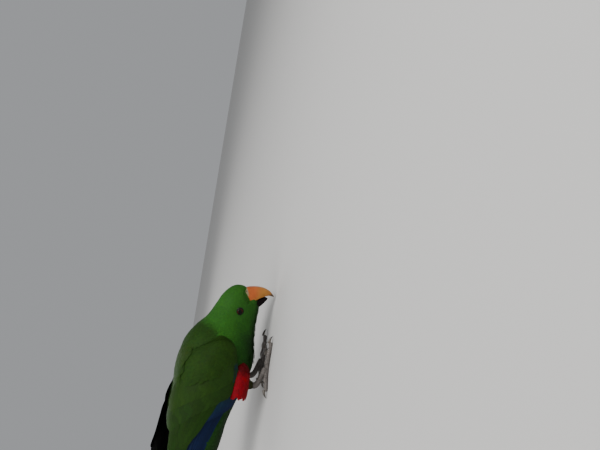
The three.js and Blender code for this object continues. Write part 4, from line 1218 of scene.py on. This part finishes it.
def bill():
    places = np.concatenate([np.linspace(CERE_REACH - 0.1, 7.0, 84), 8 - np.linspace(1, 0.02, 18)[1:] ** 1.4])
    place, angle = grid(places, around(56))
    orange = blend(BILL_ORANGE, BILL_YELLOW, ease(place, 2.9, 4.9))
    orange = blend(orange, BILL_YELLOW, 0.6 * ease(-np.sin(angle), -0.35, 0.0) * ease(place, 1.5, 3))
    orange = blend(orange, BILL_HORN, 0.9 * ease(place, 6.2, 7.3))
    rings = bill_ring(place, angle, np.zeros_like(place))
    piece = horn("upper_bill", rings, place, orange, UPPER_HORN)
    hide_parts("bill_upper")

    # The cere's skin, with the nostrils pressed in and painted shade in them
    place, angle = grid(np.linspace(0, CERE_REACH, 64), around(112))
    rings = bill_ring(place, angle, np.interp(place, [0, 1.4, 1.75, CERE_REACH], [0.1, 0.18, 0.15, -0.10]))
    pits = [head_point(NOSTRIL[0], side * NOSTRIL[1], NOSTRIL[2]) for side in (1, -1)]
    for pit in pits:
        away = np.linalg.norm(rings - pit, axis=-1)
        sink = 0.7 * np.exp(-(away / 0.8) ** 4)
        rim = 0.2 * np.exp(-((away - 1.35) / 0.5) ** 2)
        rings = rings + unit(rings - head_point(14.0, 0, 3.0)) * (rim - sink)[..., None]
    points, quads, tris = loft(rings)
    away = np.min([np.linalg.norm(points - pit, axis=-1) for pit in pits], 0)
    colours = blend(BILL_ORANGE, CERE_COLOUR, ease(from_head(points)[2], 0.5, 6.0))
    # painted shade in the shallow nostril pits, standing for their depth
    colours = blend(colours, NOSTRIL_SHADE, 1 - ease(away, 0.7, 1.25))
    piece = mesh_object("cere_band", points, quads, CERE_SKIN, tris, None, colours, 0 * points)
    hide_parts("cere")

    places = np.concatenate([np.linspace(0, 3.6, 50), 4 - np.linspace(0.4, 0.0, 12)[1:]])
    place, angle = grid(places, around(56))
    row = rows_at(LOWER_BILL, place)
    rim = head_point(row[..., 0], 0, row[..., 1])
    keel = head_point(row[..., 2], 0, row[..., 3]) - rim
    half = row[..., 4] * np.sqrt(np.clip(1 - np.clip((place - 3.3) / 0.72, 0, 1) ** 2, 0.01, 1))
    depth = np.where(np.sin(angle) < 0, -np.sin(angle), -0.12 * np.sin(angle))
    rings = rim + LEFT * (half * np.cos(angle))[..., None] + keel * depth[..., None]
    dark = blend(BILL_DARK_RED, BILL_BLACK, ease(place, 0.2, 1.6))
    piece = horn("lower_bill", rings, place, dark, LOWER_HORN)
    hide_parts("bill_lower")


def eye(side, label):
    out = LEFT * side
    polar, spin = grid(np.linspace(0.01, np.pi - 0.01, 90), around(96))
    ball = EYE_RADIUS * np.sin(polar)
    depth = EYE_RADIUS * np.cos(polar)
    bulge = 0.35 * np.exp(-(ball / 3.2) ** 4) * (depth > 0)
    centre = head_point(0, side * EYE_DEPTH, 0)
    rings = (centre + out * (depth + bulge)[..., None]
             + AHEAD * (ball * np.cos(spin))[..., None] + UP * (ball * np.sin(spin))[..., None])
    streak = 0.5 + 0.5 * np.sin(spin * 31 + 2.0 * np.sin(spin * 5))
    # painted shade: the iris is painted dark brown over its own orange, with orange-brown streaks
    colour = blend(IRIS_SHADE_BROWN, IRIS_STREAK, streak * ease(ball, PUPIL, IRIS))
    colour = blend(colour, PUPIL_BLACK, 1 - ease(ball, PUPIL - 0.1, PUPIL + 0.3))
    colour = blend(colour, EYE_DARK, np.where(depth > 0, ease(ball, IRIS - 0.2, IRIS + 0.35), 1.0))
    points, quads, tris = loft(rings)
    piece = mesh_object(f"eyeball_{label}", points, quads, EYE, tris, None, capped(colour))
    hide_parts(f"eye_{label}")

    # The lids: from the eye's surface over a rim and down to the skin, closed beneath
    spin = around(120)
    reach = np.array([0.0, 0.06, 0.18, 0.34, 0.55, 0.8, 1.0])
    rim = np.array([0.12, 0.34, 0.52, 0.50, 0.35, 0.10, -0.3])
    tilt = np.array([[math.cos(EYE_TILT), math.sin(EYE_TILT)], [-math.sin(EYE_TILT), math.cos(EYE_TILT)]])
    inner = np.stack([EYE_OPENING * np.cos(spin), EYE_HALF_HEIGHT * np.sin(spin)], -1) @ tilt
    outer = LID_REACH * np.stack([np.cos(spin), np.sin(spin)], -1) @ tilt
    flat = mix(inner[:, None], outer[:, None], reach[None, :, None])
    on_ball = np.sqrt(EYE_RADIUS ** 2 - (inner ** 2).sum(-1))
    place, angle = grid(np.linspace(12, 18, 120), np.linspace(-1.2, 1.6, 120))
    skin = skin_point(place, np.pi - angle if side < 0 else angle).reshape(-1, 3) - centre
    skin_flat = np.stack([skin @ AHEAD, skin @ UP], -1)
    nearest = np.argmin(((outer[:, None] - skin_flat[None]) ** 2).sum(-1), 1)
    on_skin = (skin @ out)[nearest]
    wrinkle = 0.10 * np.sin(26 * spin)[:, None] * np.sin(np.pi * reach) + 0.06 * np.sin(14 * np.pi * reach)
    level = mix(on_ball[:, None], on_skin[:, None], ease(reach)) + rim + wrinkle
    flat = np.concatenate([flat, flat[:, ::-1]], 1)
    level = np.concatenate([level, level[:, ::-1] - 1.2], 1)
    rings = centre + out * level[..., None] + AHEAD * flat[..., 0:1] + UP * flat[..., 1:2]
    index = np.arange(level.size).reshape(level.shape)
    after, over = np.roll(index, -1, 0), np.roll(index, -1, 1)
    quads = np.stack([index, after, np.roll(after, -1, 1), over], -1).reshape(-1, 4)
    if np.cross(rings[1, 2] - rings[0, 2], rings[0, 3] - rings[0, 2]) @ out < 0:
        quads = quads[:, ::-1]
    colours = np.tile(LID_GREY, (level.size, 1))
    mesh_object(f"lids_{label}", rings.reshape(-1, 3), quads, LID, (), None, colours)


def foot_point(side, ahead, out, z):
    ahead, out, z = np.broadcast_arrays(ahead, out, z)
    return np.stack([ahead + (LEFT_FOOT_AHEAD if side > 0 else 0.0), side * (FOOT_SPREAD + out), z], -1)


def rings_along(path, across, wide, tall, angles):
    over = np.cross(unit(np.gradient(path, axis=0)), across)
    over = over * np.sign(over[:, 2:3] + 1e-9)
    return (path[:, None] + across * (np.cos(angles) * wide)[..., None]
            + over[:, None] * (np.sin(angles) * tall)[..., None])


def toe_rings(side, heading, along, z, wide, tall, angles):
    """Rings along a toe or its claw, so many millimetres along its heading and up."""
    heading = math.radians(heading)
    path = foot_point(side, along * math.cos(heading), along * math.sin(heading), z)
    across = np.array([-math.sin(heading), side * math.cos(heading), 0])
    return rings_along(path, across, wide, tall, angles)


def foot(side, label):
    angles = around(32)
    places = np.linspace(0, len(SHANK) - 1, 60)
    ahead, out, z, radius = rows_at(SHANK, places).T
    radius = radius[:, None] * (1 + 0.03 * np.cos(np.arange(60)[:, None] * 1.7))
    path = foot_point(side, ahead, out, z)
    parts = [(rings_along(path, np.array([0, 1.0, 0]), radius, radius, angles), places * 8)]
    for _, heading, length, thick in TOES:
        t = np.linspace(0, 1, 64)
        along = t * length
        body = mix(thick, thick * 0.72, t) * (1 + 0.1 * np.cos(math.tau * along / TOE_PAD_SPACING))
        z = body * 0.82 + 1.6 * np.sin(np.pi * t) * (1 - t)
        close = np.clip((along - length + 0.6 * thick) / (0.62 * thick), 0, 1)
        scutes = 1 + 0.035 * np.abs(np.sin(np.pi * along / SCUTE_SPACING))[:, None] * (np.sin(angles) > 0.3)
        radius = (body * np.sqrt(np.clip(1 - close ** 2, 0.03, 1)))[:, None] * scutes
        parts.append((toe_rings(side, heading, along, z, radius, radius, angles), along))
    meshes = []
    start = 0
    for rings, along in parts:
        rings[..., 2] = np.maximum(rings[..., 2], 0.02)
        points, quads, tris = loft(rings)
        web = np.stack(np.broadcast_arrays(np.sin(angles), along[:, None], 0.0), -1).reshape(-1, 3)
        meshes.append((points, quads + start, tris + start, np.concatenate([web, np.zeros((2, 3))])))
        start += len(points)
    points, quads, tris, webs = map(np.concatenate, zip(*meshes))
    piece = mesh_object(f"scaled_foot_{label}", points, quads, FOOT, tris, webs=webs)
    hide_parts(f"foot_{label}")


def claw(side, label, name, heading, length):
    t = np.linspace(-0.12, 1, 40)
    radius = CLAW_LENGTH / CLAW_BEND
    angle = CLAW_START + CLAW_BEND * t
    along = length + radius * (np.sin(angle) - math.sin(CLAW_START))
    drop = radius * (math.cos(CLAW_START) - np.cos(angle))
    angles = around(24)
    groove = 1 - 0.25 * np.exp(-((angles - 1.5 * np.pi) / 0.5) ** 2)
    tall = mix(1.9, 0.12, np.clip(t, 0, 1) ** 1.15)[:, None] * groove
    rings = toe_rings(side, heading, along, CLAW_HEIGHT - 0.55 * drop, 0.82 * tall, tall, angles)
    points, quads, tris = loft(rings)
    colours = capped(np.repeat(blend(CLAW_PALE, CLAW_DARK, ease(t, 0.0, 0.8)), len(angles), 0))
    piece = mesh_object(f"talon_{label}_{name}", points, quads, CLAW, tris, None, colours)
    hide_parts(f"claw_{label}_{name}")


def stage():
    """Floor, lights and camera."""
    bpy.ops.mesh.primitive_plane_add(size=6.0)
    floor = bpy.context.object
    floor.name = "floor"
    material, tree = new_material("floor")
    finish(tree, FLOOR_GREY, 0.9)
    floor.data.materials.append(material)

    scene = bpy.context.scene
    scene.world = bpy.data.worlds.new("studio")
    scene.world.use_nodes = True
    feed(scene.world.node_tree.nodes["Background"], {"Color": SKY_GREY, "Strength": 0.42})
    for name, place, size, energy in LIGHTS:
        light = bpy.data.lights.new(name, "AREA")
        light.energy = energy
        light.size = size
        lamp = bpy.data.objects.new(name, light)
        lamp.location = place
        lamp.rotation_euler = (LIT_PLACE - Vector(place)).to_track_quat("-Z", "Y").to_euler()
        scene.collection.objects.link(lamp)

    camera = bpy.data.objects.new("camera", bpy.data.cameras.new("camera"))
    camera.data.sensor_width = 36
    camera.data.lens = 27
    camera.data.clip_start = 0.01
    columns = np.column_stack([CAMERA_DOWN, CAMERA_RIGHT, CAMERA_BACK, (CAMERA_PLACE + SHIFT) / 1000])
    camera.matrix_world = Matrix([*columns.tolist(), [0, 0, 0, 1]])
    scene.collection.objects.link(camera)
    scene.camera = camera


body_skin()
body_coat()
for bird_side, side_label in SIDES:
    wing(bird_side, side_label)
    wing_arm(bird_side, side_label)
for bird_side, side_label in SIDES:
    scapulars(bird_side, side_label)
tail()
for bird_side, side_label in SIDES:
    leg(bird_side, side_label)
bill()
for bird_side, side_label in SIDES:
    eye(bird_side, side_label)
for bird_side, side_label in SIDES:
    foot(bird_side, side_label)
    for toe_name, toe_heading, toe_length, _ in TOES:
        claw(bird_side, side_label, toe_name, toe_heading, toe_length)
stage()
